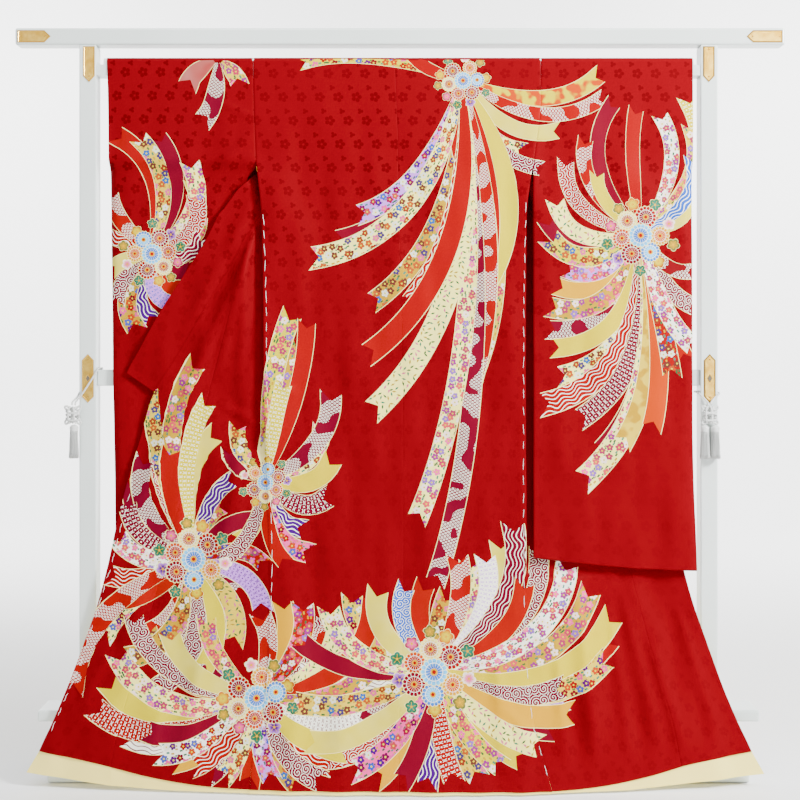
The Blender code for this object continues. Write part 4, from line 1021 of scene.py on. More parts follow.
def over_rail():
    """Depth and height along the fold over the upper rail, from its rear edge to its front edge."""
    radius = RAIL_EDGE + GAP + WALL / 2
    middle, height = RAIL_HALF_DEPTH - RAIL_EDGE, RAIL_TOP - RAIL_EDGE
    turns = [i / RAIL_STEPS * math.pi / 2 for i in range(RAIL_STEPS + 1)]
    rear = [(middle + radius * math.cos(a), height + radius * math.sin(a)) for a in turns]
    front = [(-middle - radius * math.sin(a), height + radius * math.cos(a)) for a in turns]
    return rear + front


def across(first, last, count):
    return [first + (last - first) * i / (count - 1) for i in range(count)]


def finer(values, step):
    """A falling list of heights with more heights put between them."""
    heights = [values[0]]
    for low in values[1:]:
        count = max(1, round((heights[-1] - low) / step))
        heights += list(np.linspace(heights[-1], low, count + 1)[1:])
    return [float(z) for z in heights]


def run_out(rows, last, count=5):
    """Rows led on to a last one by even steps."""
    above = rows[-1]
    for k in range(1, count + 1):
        rows.append([a.lerp(b, k / count) for a, b in zip(above, last)])
    return rows


OVER_SEAM = 0.0014


def back_rows(side, columns=43):
    """A back panel's rows from behind the rail, over it and down to the hem."""
    edge = LEFT if side == -1 else RIGHT

    def ends(z):
        return read(BACK, edge, z), read(BACK, CENTRE, z) - side * OVER_SEAM

    rows = [[Vector((x, y, z)) for x in across(*ends(RAIL_TOP), columns)] for y, z in over_rail()]
    for z in finer((RAIL_TOP - RAIL_EDGE, LAST_EVEN_ROW), ROW_STEP)[1:]:
        rows.append([Vector((x, back_depth(x, z), z)) for x in across(*ends(z), columns)])
    return run_out(rows, [hem_point(x) for x in across(*ends(0.0), columns)])


def pieces(name, panel, size, held="hung", area=None, on=("rail_upper",), **options):
    """The drawn sheet of a panel, put in the place of its solid, which is hidden."""
    sheet = drawn_sheet(name + "_cloth", panel, [m for m in motifs if name in m["on"]], **options)
    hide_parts(name)
    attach(sheet, "root")
    return sheet


panels = {}
for name, side in (("back_left", -1), ("back_right", 1)):
    rows = back_rows(side)
    seen = (FRONT_OF_RAIL, len(rows) - 1)
    panels[name] = Panel(rows, BACK_WIDTH, (0.004 * side, 0.0), seen, 0, BACK_CREASES)
    pieces(name, panels[name], (BACK_WIDTH, BACK_LENGTH), seams=(0, 1))

# Sleeves
# Long hanging sleeves, each one length folded at the shoulder into a flat bag: closed at its bottom and at
# the hand below the wrist's opening, open on the body's side below the armhole. The rear sheet is plain.

ARMHOLE_END = 1.386
# Sleeves: height, front depth, rear depth, and where the inner and the outer edge lie across
SLEEVE_LEFT = (
    (1.6053, -0.02105, 0.02105, -0.325, -0.6515),
    (1.5700, -0.0222, 0.0213, -0.325, -0.650),
    (1.5000, -0.0245, 0.0150, -0.3225, -0.648),
    (1.3860, -0.0305, 0.0060, -0.317, -0.646),
    (1.3550, -0.0200, 0.0030, -0.333, -0.645),
    (1.3000, -0.0170, -0.0010, -0.343, -0.644),
    (1.1500, -0.0190, -0.0060, -0.343, -0.641),
    (0.9500, -0.0265, -0.0153, -0.340, -0.6375),
    (0.7000, -0.0270, -0.0158, -0.336, -0.633),
    (0.4600, -0.0270, -0.0160, -0.336, -0.630),
)
SLEEVE_RIGHT = (
    (1.6053, -0.02105, 0.02105, 0.318, 0.6573),
    (1.5700, -0.0222, 0.0213, 0.318, 0.6573),
    (1.5000, -0.0245, 0.0150, 0.318, 0.6570),
    (1.3860, -0.0285, 0.0030, 0.302, 0.6560),
    (1.3550, -0.0310, 0.0010, 0.301, 0.6555),
    (1.3000, -0.0340, -0.0040, 0.300, 0.6550),
    (1.1000, -0.0370, -0.0150, 0.300, 0.6545),
    (0.9200, -0.0385, -0.0230, 0.300, 0.6535),
    (0.7000, -0.0420, -0.0265, 0.300, 0.6560),
    (0.4600, -0.0470, -0.0330, 0.299, 0.6625),
)
SLEEVE_BOTTOM_INNER = 0.4975
SLEEVE_BOTTOM_OUTER = 0.4685
SLEEVE_BOTTOM_BEND = 0.55
# The height where the rows begin to follow the slanting bottom, the fold there, and the rows between
SLANTED_BELOW = 0.62
SLANTED_ROWS = 16
BOTTOM_FOLD = 0.003
# Below the armhole: where the front and the rear sheet have left the back's edge, and over what height
LEAVES_BACK = {1: (1.345, 0.03), 2: (1.29, 0.04)}
# The share of the width where the bag begins to round off into its closed outer edge
ROUNDED_FROM = 0.94
CLOSED_BELOW_ARMHOLE = 0.03
SLEEVE_WIDTH = 0.330
SLEEVE_CUT = (0.335, 2.30)
PLAIN_ROWS = 6
ARM_SIDE, HAND_SIDE = 3, 4
SLEEVES = {-1: SLEEVE_LEFT, 1: SLEEVE_RIGHT}
SLEEVE_CREASES = (
    (-0.322, 1.400, -0.520, 1.150, 0.020, 0.0040),
    (-0.500, 1.020, -0.640, 0.980, 0.012, 0.0024),
    (-0.400, 1.512, -0.330, 1.480, 0.007, 0.0029),
    (-0.330, 1.440, -0.420, 1.330, 0.014, 0.0038),
)


def back_edge(side, z):
    """A back panel's outer edge."""
    return read(BACK, LEFT if side == -1 else RIGHT, z)


def arm_edge(side, z):
    """A sleeve's edge on the body's side: along the armhole seam, and free below it."""
    if z >= ARMHOLE_END:
        return back_edge(side, z) + side * SEAM
    return read(SLEEVES[side], ARM_SIDE, z) + side * SEAM


def sheet_depth(side, column, z):
    """The depth of a sleeve's front sheet (column 1) or rear sheet (column 2)."""
    if column == 1 and z >= ARMHOLE_END:
        return back_depth(back_edge(side, z), z)
    return read(SLEEVES[side], column, z)


def sleeve_rows(side, columns=41):
    """The bag's rows from half-way up its rear, over the rail, down the front and up to the start again."""
    table = SLEEVES[side]
    shares = [i / (columns - 1) for i in range(columns)]

    def bottom(t):
        bent = 1 - (1 - t) ** (1 / SLEEVE_BOTTOM_BEND)
        return SLEEVE_BOTTOM_INNER + (SLEEVE_BOTTOM_OUTER - SLEEVE_BOTTOM_INNER) * bent

    def at(t, column, z):
        inner, outer = arm_edge(side, z), read(table, HAND_SIDE, z)
        low, over = LEAVES_BACK[column]
        inner += (back_edge(side, z) + side * SEAM - inner) * ease((z - low) / over)
        near, far = sheet_depth(side, 1, z), sheet_depth(side, 2, z)
        y, middle = (near, far)[column - 1], (near + far) / 2
        closed = math.sqrt(1 - min(max((t - ROUNDED_FROM) / (1 - ROUNDED_FROM), 0.0), 1.0) ** 2)
        closed += (1 - closed) * ease((z - ARMHOLE_END + CLOSED_BELOW_ARMHOLE) / CLOSED_BELOW_ARMHOLE)
        y = middle + (y - middle) * closed + (CLOTH / 2 if y > middle else -CLOTH / 2) * (1 - closed)
        return Vector((inner + (outer - inner) * t, y, z))

    def bag(column):
        rows = [[at(t, column, z) for t in shares] for z in finer((1.60, SLANTED_BELOW), ROW_STEP)[1:]]
        for k in range(1, SLANTED_ROWS + 1):
            fall = [(bottom(t) + BOTTOM_FOLD - SLANTED_BELOW) * k / SLANTED_ROWS for t in shares]
            rows.append([at(t, column, SLANTED_BELOW + down) for t, down in zip(shares, fall)])
        return rows

    top = []
    for y, z in over_rail():
        inner, outer = arm_edge(side, z), read(table, HAND_SIDE, z)
        top.append([Vector((inner + (outer - inner) * t, y, z)) for t in shares])
    near, far = bag(1), bag(2)
    fold = []
    for a in (30, 60, 90, 120, 150):
        c, s = math.cos(math.radians(a)), math.sin(math.radians(a))
        fold.append([(p + q) / 2 + (p - q) / 2 * c - Vector((0, 0, BOTTOM_FOLD * s))
                     for p, q in zip(near[-1], far[-1])])
    up = far[::-1]
    start = len(up) // 2
    rows = up[start:] + top + near + fold + up[:start + 1]
    first = len(up) - start + FRONT_OF_RAIL
    return rows, (first, first + len(near))


for name, side in (("sleeve_left", -1), ("sleeve_right", 1)):
    rows, seen = sleeve_rows(side)
    panels[name] = Panel(rows, SLEEVE_WIDTH, (0.011, 0.017), seen, 0, SLEEVE_CREASES if side == -1 else ())
    pieces(name, panels[name], SLEEVE_CUT, ring=True, plain_after=seen[1] + PLAIN_ROWS, seams=(0,),
           inside=silk_red)

# Front panels
# The other half of each body length: behind the rail, down and round the side, then spread outwards on
# show, before the left sleeve and behind the right one. The left one is drawn in folds from the armhole.

# Front panels, by rows from the shoulder to the hem: height at the side, how far the side edge has come
# from the sleeve's rear to the back panel's edge, distance out and height of the front seam, its depth on
# the left and on the right, depth of the tuck behind the back's edge, rearward bow
FRONT = (
    (1.6046, 0.00, 0.088, 1.6046, 0.0212, 0.0212, 0.000, 0.000),
    (1.5700, 0.00, 0.112, 1.5720, 0.0240, 0.0240, 0.000, 0.002),
    (1.5200, 0.00, 0.146, 1.5300, 0.0320, 0.0320, 0.000, 0.006),
    (1.4700, 0.00, 0.182, 1.4830, 0.0400, 0.0400, 0.000, 0.012),
    (1.4250, 0.00, 0.222, 1.4320, 0.0420, 0.0460, 0.000, 0.012),
    (1.3860, 0.00, 0.256, 1.3850, 0.0320, 0.0430, 0.000, 0.006),
    (1.3450, 0.92, 0.279, 1.3400, 0.0100, 0.0360, 0.000, 0.001),
    (1.3050, 1.00, 0.294, 1.3010, -0.0120, 0.0270, 0.000, 0.000),
    (1.2620, 1.00, 0.306, 1.2620, -0.0275, 0.0160, 0.010, 0.000),
    (1.2150, 1.00, 0.330, 1.2200, -0.0310, 0.0080, 0.050, 0.004),
    (1.1000, 1.00, 0.361, 1.1000, -0.0365, -0.0040, 0.095, 0.004),
    (0.9500, 1.00, 0.400, 0.9500, -0.0385, -0.0158, 0.100, 0.001),
    (0.8000, 1.00, 0.439, 0.8000, -0.0395, -0.0172, 0.074, 0.004),
    (0.6500, 1.00, 0.4785, 0.6500, -0.0410, -0.0190, 0.000, 0.010),
    (0.5000, 1.00, 0.518, 0.5000, -0.0430, -0.0220, 0.000, 0.006),
    (0.3800, 1.00, 0.549, 0.3800, -0.0465, -0.0300, 0.000, 0.002),
    (0.2800, 1.00, 0.5735, 0.2830, -0.0530, -0.0440, 0.000, 0.000),
    (0.1900, 1.00, 0.596, 0.2000, -0.0640, -0.0590, 0.000, 0.000),
    (0.1100, 1.00, 0.615, 0.1300, -0.0790, -0.0750, 0.000, 0.000),
    (0.0113, 1.00, 0.628, 0.0513, -0.0980, -0.0970, 0.000, 0.000),
)
MIX, FRONT_X, FRONT_Z, DEEP_LEFT, DEEP_RIGHT, TUCK, BOW = 1, 2, 3, 4, 5, 6, 7
FRONT_HEIGHTS = (1.6046, 1.575, 1.54, 1.505, 1.47, 1.435, 1.405, 1.386, 1.36, 1.335, 1.31, 1.285, 1.262,
                 1.238, 1.2145, 1.16, 1.08, 0.99, 0.90, 0.82, 0.74, 0.68, 0.62, 0.55, 0.47, 0.39, 0.32,
                 0.26, 0.20, 0.15, 0.11, 0.075, 0.045, 0.0113)
TIP_ROW = 14
COLLAR_END_ROW = 19
RIGHT_REACH = 0.982
FULL_TUCK = 0.05
TURN = {-1: 0.016, 1: 0.0}
FINE = 80
LAP = 0.004
SLEEVE_CLEAR = 0.0035
BESIDE_FROM = 0.21
# How far the rows sag between the side and the front edge near the hem, and below what height
SAG = 0.014
SAG_TOP = 0.30
# How evenly the columns are spread: a share everywhere, and more on the right where it turns tightly
EVENNESS = 0.4
MORE_EVEN = 0.5
FRONT_STEP = 0.0075
FRONT_COLUMNS = 45
FRONT_WIDTH = 0.330
FRONT_CUT = (0.312, 1.62)
FRONT_AREA = 0.42
OUT_OF_SLEEVE = 1.30

# Broad folds of the spread fronts, drawn from the left armhole or opening towards the hem: place across and
# height at both ends, half width, rise
FOLDS = (
    (-0.330, 1.170, -0.372, 0.860, 0.020, 0.0050),
    (-0.372, 1.080, -0.545, 0.640, 0.028, 0.0050),
    (-0.325, 0.800, -0.430, 0.380, 0.026, 0.0050),
    (-0.560, 0.460, -0.660, 0.120, 0.026, 0.0060),
    (-0.400, 0.380, -0.450, 0.080, 0.028, 0.0060),
    (0.385, 0.430, 0.430, 0.070, 0.028, 0.0060),
    (0.530, 0.430, 0.630, 0.100, 0.026, 0.0060),
)
FOLD_START = 0.035
FRONT_CREASES_LEFT = (
    (-0.318, 1.300, -0.470, 1.010, 0.012, 0.0061),
    (-0.320, 1.230, -0.400, 0.900, 0.012, 0.0081),
    (-0.335, 1.150, -0.355, 0.830, 0.012, 0.0081),
    (-0.330, 1.180, -0.600, 0.560, 0.020, 0.0068),
    (-0.320, 0.980, -0.400, 0.420, 0.018, 0.0059),
    (-0.395, 0.835, -0.305, 0.795, 0.010, 0.0046),
    (-0.300, 0.760, -0.360, 0.600, 0.012, 0.0046),
    (-0.560, 0.360, -0.640, 0.110, 0.018, 0.0062),
    (-0.430, 0.300, -0.470, 0.080, 0.020, 0.0068),
    (-0.640, 0.300, -0.720, 0.120, 0.016, 0.0049),
    (-0.500, 0.240, -0.545, 0.070, 0.014, 0.0049),
)
FRONT_CREASES_RIGHT = (
    (0.400, 0.420, 0.430, 0.070, 0.018, 0.0075),
    (0.470, 0.380, 0.505, 0.070, 0.014, 0.0060),
    (0.500, 0.400, 0.570, 0.090, 0.016, 0.0066),
    (0.620, 0.380, 0.700, 0.110, 0.014, 0.0054),
    (0.345, 0.330, 0.365, 0.060, 0.013, 0.0060),
    (0.560, 0.300, 0.625, 0.080, 0.013, 0.0051),
)
FRONT_CREASES = {-1: FRONT_CREASES_LEFT, 1: FRONT_CREASES_RIGHT}


def on_back_edge(side, z):
    """A point of the side seam, just behind the back panel's edge."""
    x = back_edge(side, z) - side * LAP
    if z < 0.02:
        return hem_point(x, BEHIND)
    return Vector((x, back_depth(x, z) + BEHIND, z))


def folded(side, row):
    """The row with its part beyond the back panel brought towards -Y by the folds that cross it."""
    moved = []
    for point in row:
        shown = ease(side * (point.x - back_edge(side, point.z)) / FOLD_START)
        rise = 0.0
        for x1, z1, x2, z2, half, height in FOLDS:
            run, fall = x2 - x1, z2 - z1
            length = math.hypot(run, fall)
            along = ((point.x - x1) * run + (point.z - z1) * fall) / length**2
            aside = ((point.x - x1) * fall - (point.z - z1) * run) / length
            ends = ease((along + 0.15) / 0.4) * ease((1.15 - along) / 0.4)
            rise += height * ends * math.exp(-((aside / half) ** 2))
        moved.append(point - Vector((0, shown * rise, 0)))
    return moved


def front_row(side, z, count):
    """One row of a front panel, with its folds."""
    return folded(side, flat_row(side, z, count))


def cubic(a, m1, m2, b, t):
    """A point of a cubic curve between two points, led by two more."""
    s = 1 - t
    return a * s**3 + m1 * 3 * s * s * t + m2 * 3 * s * t * t + b * t**3


def flat_row(side, z, count):
    """One row of a front panel, from its side edge to its front seam, as points of a cubic curve."""
    reach = 1.0 if side == -1 else 1.0 - (1.0 - RIGHT_REACH) * ease((1.3 - z) / 0.3)
    arm = Vector((arm_edge(side, z) - side * 3 * SEAM, sheet_depth(side, 2, z), z))
    mix = read(FRONT, MIX, z)
    a = arm.lerp(on_back_edge(side, z), mix)
    deep = DEEP_LEFT if side == -1 else DEEP_RIGHT
    b = Vector((side * reach * read(FRONT, FRONT_X, z), read(FRONT, deep, z), read(FRONT, FRONT_Z, z)))
    tuck = read(FRONT, TUCK, z)
    full = min(1.0, tuck / FULL_TUCK)
    inward = Vector((-side * tuck, 0, 0))
    m1 = a.lerp(b, (1 - full) / 3) + inward
    m2 = a.lerp(b, 2 / 3 * (1 - full)) + inward
    m2.y = a.y + (b.y - a.y) * (1 - (1 - full) / 3) + TURN[side] * ease(2 * full - 1)
    bow = read(FRONT, BOW, z)
    m1.y += bow
    m2.y += bow
    sag = SAG * ease((SAG_TOP - z) / SAG_TOP)
    m1.z -= sag
    m2.z -= sag
    fine = []
    for i in range(FINE + 1):
        fine.append(clear_of_others(side, cubic(a, m1, m2, b, i / FINE)))
    even = EVENNESS
    if side == 1:
        even += MORE_EVEN * max(ease((0.84 - z) / 0.06), ease((z - 1.15) / 0.08))
    return spread(fine, count, even)


def spread(fine, count, evenness):
    """Points along a finely drawn row, spaced by its length where evenness is 1 and by its steps at 0."""
    lengths = [(q - p).length for p, q in zip(fine, fine[1:])]
    total = sum(lengths)
    marks = [0.0]
    for length in lengths:
        marks.append(marks[-1] + evenness * length / total + (1 - evenness) / len(lengths))
    wanted = [i / (count - 1) * marks[-1] for i in range(count)]
    columns = [np.interp(wanted, marks, [p[k] for p in fine]) for k in range(3)]
    return [Vector([float(column[i]) for column in columns]) for i in range(count)]


def clear_of_others(side, point):
    """The point, moved in depth where it would lie within the back panel or the sleeve beside it."""
    z = point.z
    if side * (point.x - back_edge(side, z)) < -SEAM and BESIDE_FROM < z < RAIL_BOTTOM:
        point.y = max(point.y, back_depth(point.x, z) + BEHIND)
    if SLEEVE_BOTTOM_OUTER - 0.01 < z < ARMHOLE_END - 0.05:
        beside = ease((side * (point.x - arm_edge(side, z)) + 0.021) / 0.007)
        if side == -1:
            point.y += beside * min(0.0, sheet_depth(side, 1, z) - SLEEVE_CLEAR - point.y)
        else:
            point.y += beside * max(0.0, sheet_depth(side, 2, z) + 1.3 * SLEEVE_CLEAR - point.y)
    return point


def opened(side):
    """A finder of the column where a row of a front panel comes into view from behind the back."""
    def first_seen(i):
        return int(np.argmin(panels[FRONT_NAMES[side]].points[i, :, 0] * side))
    return first_seen


FRONT_NAMES = {-1: "front_left", 1: "front_right"}
front_heights = finer(FRONT_HEIGHTS[:-1], FRONT_STEP)
tip_row = next(k for k, z in enumerate(front_heights) if z < FRONT_HEIGHTS[TIP_ROW] + 1e-6)
seen_from = next(k for k, z in enumerate(front_heights) if z < OUT_OF_SLEEVE)
for side, name in FRONT_NAMES.items():
    rows = run_out([front_row(side, z, FRONT_COLUMNS) for z in front_heights],
                   front_row(side, FRONT_HEIGHTS[-1], FRONT_COLUMNS))
    panels[name] = Panel(rows, FRONT_WIDTH, (0.021, 0.008), (seen_from, len(rows) - 1), opened(side),
                         FRONT_CREASES[side])
    pieces(name, panels[name], FRONT_CUT, area=FRONT_AREA, seams=(1,))

# Overlap panels
# Narrow panels sewn to the front edges, from a point below the neck to the hem. They carry the design on
# towards the lower corners, and their free edges make the garment's outline.

# Overlap panels, from their tips below the neck down: height at the side, distance out and height of the
# outer edge, its depth on the left and on the right
OKUMI = (
    (1.2145, 0.3365, 1.2190, -0.0314, 0.0085),
    (1.1600, 0.3610, 1.1690, -0.0345, 0.0020),
    (1.0800, 0.4080, 1.0890, -0.0360, -0.0060),
    (0.9900, 0.4590, 1.0020, -0.0375, -0.0145),
    (0.9000, 0.5080, 0.9200, -0.0380, -0.0158),
    (0.8200, 0.5430, 0.8650, -0.0380, -0.0165),
    (0.7300, 0.5760, 0.7550, -0.0375, -0.0175),
    (0.6400, 0.6060, 0.6500, -0.0375, -0.0190),
    (0.5500, 0.6290, 0.5560, -0.0380, -0.0205),
    (0.4700, 0.6470, 0.4740, -0.0395, -0.0245),
    (0.3900, 0.6680, 0.3930, -0.0430, -0.0330),
    (0.3200, 0.6915, 0.3240, -0.0470, -0.0410),
    (0.2600, 0.7120, 0.2660, -0.0520, -0.0470),
    (0.2000, 0.7320, 0.2100, -0.0575, -0.0540),
    (0.1550, 0.7490, 0.1680, -0.0625, -0.0600),
    (0.1100, 0.7650, 0.1300, -0.0680, -0.0660),
    (0.0600, 0.7780, 0.1020, -0.0735, -0.0730),
    (0.0113, 0.7880, 0.0790, -0.0780, -0.0780),
)


def outer_edge(side, z):
    """The outer edge of an overlap panel."""
    reach = 1.0 if side == -1 else RIGHT_REACH
    deep = 3 if side == -1 else 4
    return Vector((side * reach * read(OKUMI, 1, z), read(OKUMI, deep, z), read(OKUMI, 2, z)))


def okumi_row(side, z, columns):
    """One row of an overlap panel, led on from the front's row to its own outer edge."""
    near = flat_row(side, z, 24)
    seam, before = near[-1], near[-2]
    edge = outer_edge(side, z)
    lead = (seam - before).normalized() * (edge - seam).length / 3
    m1 = (seam + lead).lerp(seam.lerp(edge, 1 / 3), 0.5)
    m2 = seam.lerp(edge, 2 / 3)
    return folded(side, [cubic(seam, m1, m2, edge, i / (columns - 1)) for i in range(columns)])


UNDER_SEAM = 0.0022
OKUMI_COLUMNS = 21
OKUMI_WIDTH = 0.150
OKUMI_CUT = (0.152, 1.24)
OKUMI_AREA = 0.175

for side, name in ((-1, "okumi_left"), (1, "okumi_right")):
    rows = run_out([okumi_row(side, z, OKUMI_COLUMNS) for z in front_heights[tip_row:]],
                   okumi_row(side, FRONT_HEIGHTS[-1], OKUMI_COLUMNS))
    above = front_row(side, front_heights[tip_row - 1], 2)[-1]
    rows.insert(0, [above + (point - rows[0][0]) * 0.05 for point in rows[0]])
    rows = [[row[0] - (row[1] - row[0]).normalized() * UNDER_SEAM, *row[1:]] for row in rows]
    panels[name] = Panel(rows, OKUMI_WIDTH, (0.031, 0.022), (0, len(rows) - 1), 0, FRONT_CREASES[side])
    pieces(name, panels[name], OKUMI_CUT, area=OKUMI_AREA, seams=(0,))

# Collar
# One long straight band of plain red, folded lengthwise round the neck and sewn down both front edges to
# its square ends on the overlap panels.

# The collar's free edge, measured from its seam, from the shoulder down to the collar's end: height at the
# side, then how far out, how far towards +Y on the left and on the right, and how far up. It lies up and out
# on the spread front, and turns inwards on its way to the neck.
COLLAR_FREE = (
    (1.6046, -0.022, 0.004, 0.004, -0.078),
    (1.5750, -0.036, 0.012, 0.012, -0.068),
    (1.5050, -0.038, 0.020, 0.020, -0.050),
    (1.4350, -0.034, 0.024, 0.024, -0.030),
    (1.3860, -0.016, 0.030, 0.030, 0.006),
    (1.3600, -0.002, 0.032, 0.032, 0.032),
    (1.3350, 0.010, 0.029, 0.029, 0.048),
    (1.3100, 0.018, 0.024, 0.024, 0.062),
    (1.2850, 0.036, -0.008, 0.006, 0.056),
    (1.2620, 0.058, -0.004, 0.000, 0.050),
    (1.2145, 0.064, -0.001, 0.000, 0.046),
    (1.1600, 0.064, 0.000, 0.000, 0.045),
    (1.0800, 0.069, 0.000, 0.000, 0.041),
    (0.9900, 0.073, 0.000, 0.000, 0.041),
    (0.9000, 0.069, 0.000, 0.000, 0.041),
    (0.8200, 0.062, 0.000, 0.000, 0.043),
)
NECK_HANG = 0.078
NECK_DROP = 0.04
NECK_STEPS = 24
COLLAR_COLUMNS = 9
COLLAR_WIDTH = 0.080
COLLAR_CUT = (0.16, 2.07)
COLLAR_AREA = 0.165


def collar_side(side):
    """The collar's rows along one front, from its square end up to the shoulder."""
    rows = []
    for k, z in reversed(list(enumerate(front_heights))):
        if z < FRONT_HEIGHTS[COLLAR_END_ROW] - 1e-6:
            continue
        below = okumi_row(side, z, 6) if k >= tip_row else front_row(side, z, 24)
        free = Vector([read(COLLAR_FREE, c, z) for c in (1, 2 if side == -1 else 3, 4)])
        free.x *= side
        start = below[-1] - free.normalized() * 0.002 + Vector((0, 0.0009, 0))
        rows.append([start + free * i / (COLLAR_COLUMNS - 1) for i in range(COLLAR_COLUMNS)])
    return rows


left, right = collar_side(-1), collar_side(1)
neck = []
for i in range(1, NECK_STEPS):
    t = i / NECK_STEPS
    row = [a.lerp(b, t) for a, b in zip(left[-1], right[-1])]
    drop = NECK_HANG * math.sin(math.pi * t) * NECK_DROP
    neck.append([p + Vector((0, 0.001, -drop)) * (j / (COLLAR_COLUMNS - 1)) for j, p in enumerate(row)])
rows = left + neck + right[::-1]
panels["collar"] = Panel(rows, COLLAR_WIDTH, (0.0, 0.0), (0, len(left) - 1), 0, FRONT_CREASES[-1])
pieces("collar", panels["collar"], COLLAR_CUT, held="laid", area=COLLAR_AREA)

# Hem linings
# Cream silk sewn behind the hem, one strip to a panel. It shows as a pale edge below the red cloth.


def lining_rows(panel, side, out):
    """A hem strip's rows: behind the panel's last rows, then out below its edge."""
    edge = panel.points[-1]
    rows = [[Vector(p) + Vector((0, LINING_STEP, 0)) for p in row] for row in panel.points[-LINING_ROWS:]]
    last = []
    for i, e in enumerate(edge):
        wide = side * out * i / (len(edge) - 1)
        last.append(Vector((e[0] + wide, e[1] + LINING_STEP - LINING_FORWARD, hem(e[0], 3))))
    return run_out(rows, last, LINING_FREE_ROWS)


for name in BODY:
    side = -1 if name.endswith("left") else 1
    rows = lining_rows(panels[name], side, LINING_OUT if name.startswith("okumi") else 0.0)
    wide = float(np.linalg.norm(np.diff(np.array([tuple(p) for p in rows[-1]]), axis=0), axis=1).sum())
    strip = drawn_sheet("hem_lining_" + name + "_cloth", Panel(rows, wide, (0, 0), None, 0, ()), [],
                        outside=silk_cream)
    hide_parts("hem_lining_" + name)
    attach(strip, "root")

# Basting
# White cotton thread in long running stitches, put in for show along the left back's side, the right back's
# side and the left overlap panel. Each stitch is one short length of thread that lies on the cloth.

# Lines of stitches: panel, stitch and gap lengths, then x and z of the points that they follow
STITCHES = (
    ("back_left", 0.024, 0.011, (
        (-0.300, 1.270), (-0.293, 1.070), (-0.291, 0.890), (-0.284, 0.720), (-0.278, 0.490), (-0.282, 0.300),
        (-0.296, 0.140), (-0.312, 0.040))),
    ("back_right", 0.022, 0.014, (
        (0.284, 1.300), (0.278, 1.070), (0.276, 0.720), (0.276, 0.490), (0.278, 0.300), (0.292, 0.140),
        (0.324, 0.030))),
    ("okumi_left", 0.020, 0.012, ((-0.585, 0.680), (-0.640, 0.470), (-0.700, 0.270), (-0.770, 0.100))),
)
THREAD = 0.00048
STITCH_SLANT = 0.0012
STITCH_MARGIN = 0.002

thread, tree, shader = shader_of("cotton_thread", (0.86, 0.84, 0.80), 0.8)


def skin(shape, rings, capped=True):
    """Faces between rings of points, then one over each end."""
    faces = []
    for first, second in zip(rings, rings[1:]):
        for i in range(len(first)):
            j = (i + 1) % len(first)
            faces.append(shape.faces.new((first[i], first[j], second[j], second[i])))
    if capped:
        faces += [shape.faces.new(rings[0]), shape.faces.new(rings[-1])]
    return faces


def made(name, shape, *materials):
    """An object with the shape that was built up, in those materials."""
    mesh = bpy.data.meshes.new(name)
    shape.to_mesh(mesh)
    shape.free()
    for material in materials:
        mesh.materials.append(material)
    return new_object(name, mesh)


def stitch(shape, points, normals):
    """One stitch: a four-sided thread over its points, its ends drawn down into the cloth."""
    rings = []
    for i, (p, n) in enumerate(zip(points, normals)):
        ahead = (points[min(i + 1, len(points) - 1)] - points[max(i - 1, 0)]).normalized()
        aside = ahead.cross(n).normalized()
        thick = THREAD * (0.5 if i in (0, len(points) - 1) else 1.0)
        lift = n * (CLOTH / 2 + thick * 0.7)
        rings.append([shape.verts.new(p + lift + d * thick) for d in (aside, n, -aside, -n)])
    skin(shape, rings)


def run_of_stitches(shape, panel, line, usual, gap):
    """Running stitches along a line in the picture plane."""
    points = [Vector((x, z)) for x, z in line]
    ends = [0.0]
    for a, b in zip(points, points[1:]):
        ends.append(ends[-1] + (b - a).length)
    at, length = gap, usual
    while at + length * 1.2 < ends[-1]:
        length = usual * rng.uniform(0.75, 1.2)
        marks = [at + length * k / 4 for k in range(5)]
        aside = rng.uniform(-STITCH_SLANT, STITCH_SLANT)
        xs = np.interp(marks, ends, [p.x for p in points]) + np.linspace(aside, -aside, 5)
        zs = np.interp(marks, ends, [p.y for p in points])
        cut = np.array([panel.locate(x, z) for x, z in zip(xs, zs)])
        cut = np.clip(cut, STITCH_MARGIN, (panel.width - STITCH_MARGIN, panel.length - STITCH_MARGIN))
        middle, normal = panel.at(cut)
        stitch(shape, [Vector(p) for p in middle], [Vector(n).normalized() for n in normal])
        at += length + gap * rng.uniform(0.7, 1.5)


shape = bmesh.new()
for name, length, gap, line in STITCHES:
    run_of_stitches(shape, panels[name], line, length, gap)
bmesh.ops.recalc_face_normals(shape, faces=shape.faces)
basting = made("basting", shape, thread)
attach(basting, "root")

# Gilt plates
# Six thin brass plates, gilt and engraved with fine scrollwork inside a plain border, a small open diamond
# in the two at mid height, its opening a dark face of painted shadow, each held to the lacquer by
# round-headed nails at its ends.

GILT = (0.50, 0.28, 0.03)
GILT_WORN = (0.66, 0.44, 0.10)
gilt, tree, shader = shader_of("gilt_brass", GILT, 0.34, Metallic=1.0)
worn = stops(noise(places(tree), 60.0, 3.0), (0.35, GILT), (0.7, GILT_WORN))
tree.links.new(worn, shader.inputs["Base Color"])
scrollwork = add(tree, "ShaderNodeTexWave", {"wave_type": "RINGS", "rings_direction": "Y"},
                 Vector=places(tree), Scale=95.0, Distortion=9.0, Detail=1.0, Detail_Scale=14.0)
bump(shader, Wire(scrollwork.outputs["Fac"]), 0.5, 0.0004)
polished, tree, shader = shader_of("polished_brass", (0.62, 0.38, 0.07), 0.24, Metallic=1.0)
# The diamond's opening is not cut: a dark face of painted shadow stands in for it
painted_shadow_in_opening, tree, shader = shader_of("open_work_painted_shadow", (0.10, 0.08, 0.05), 0.7)

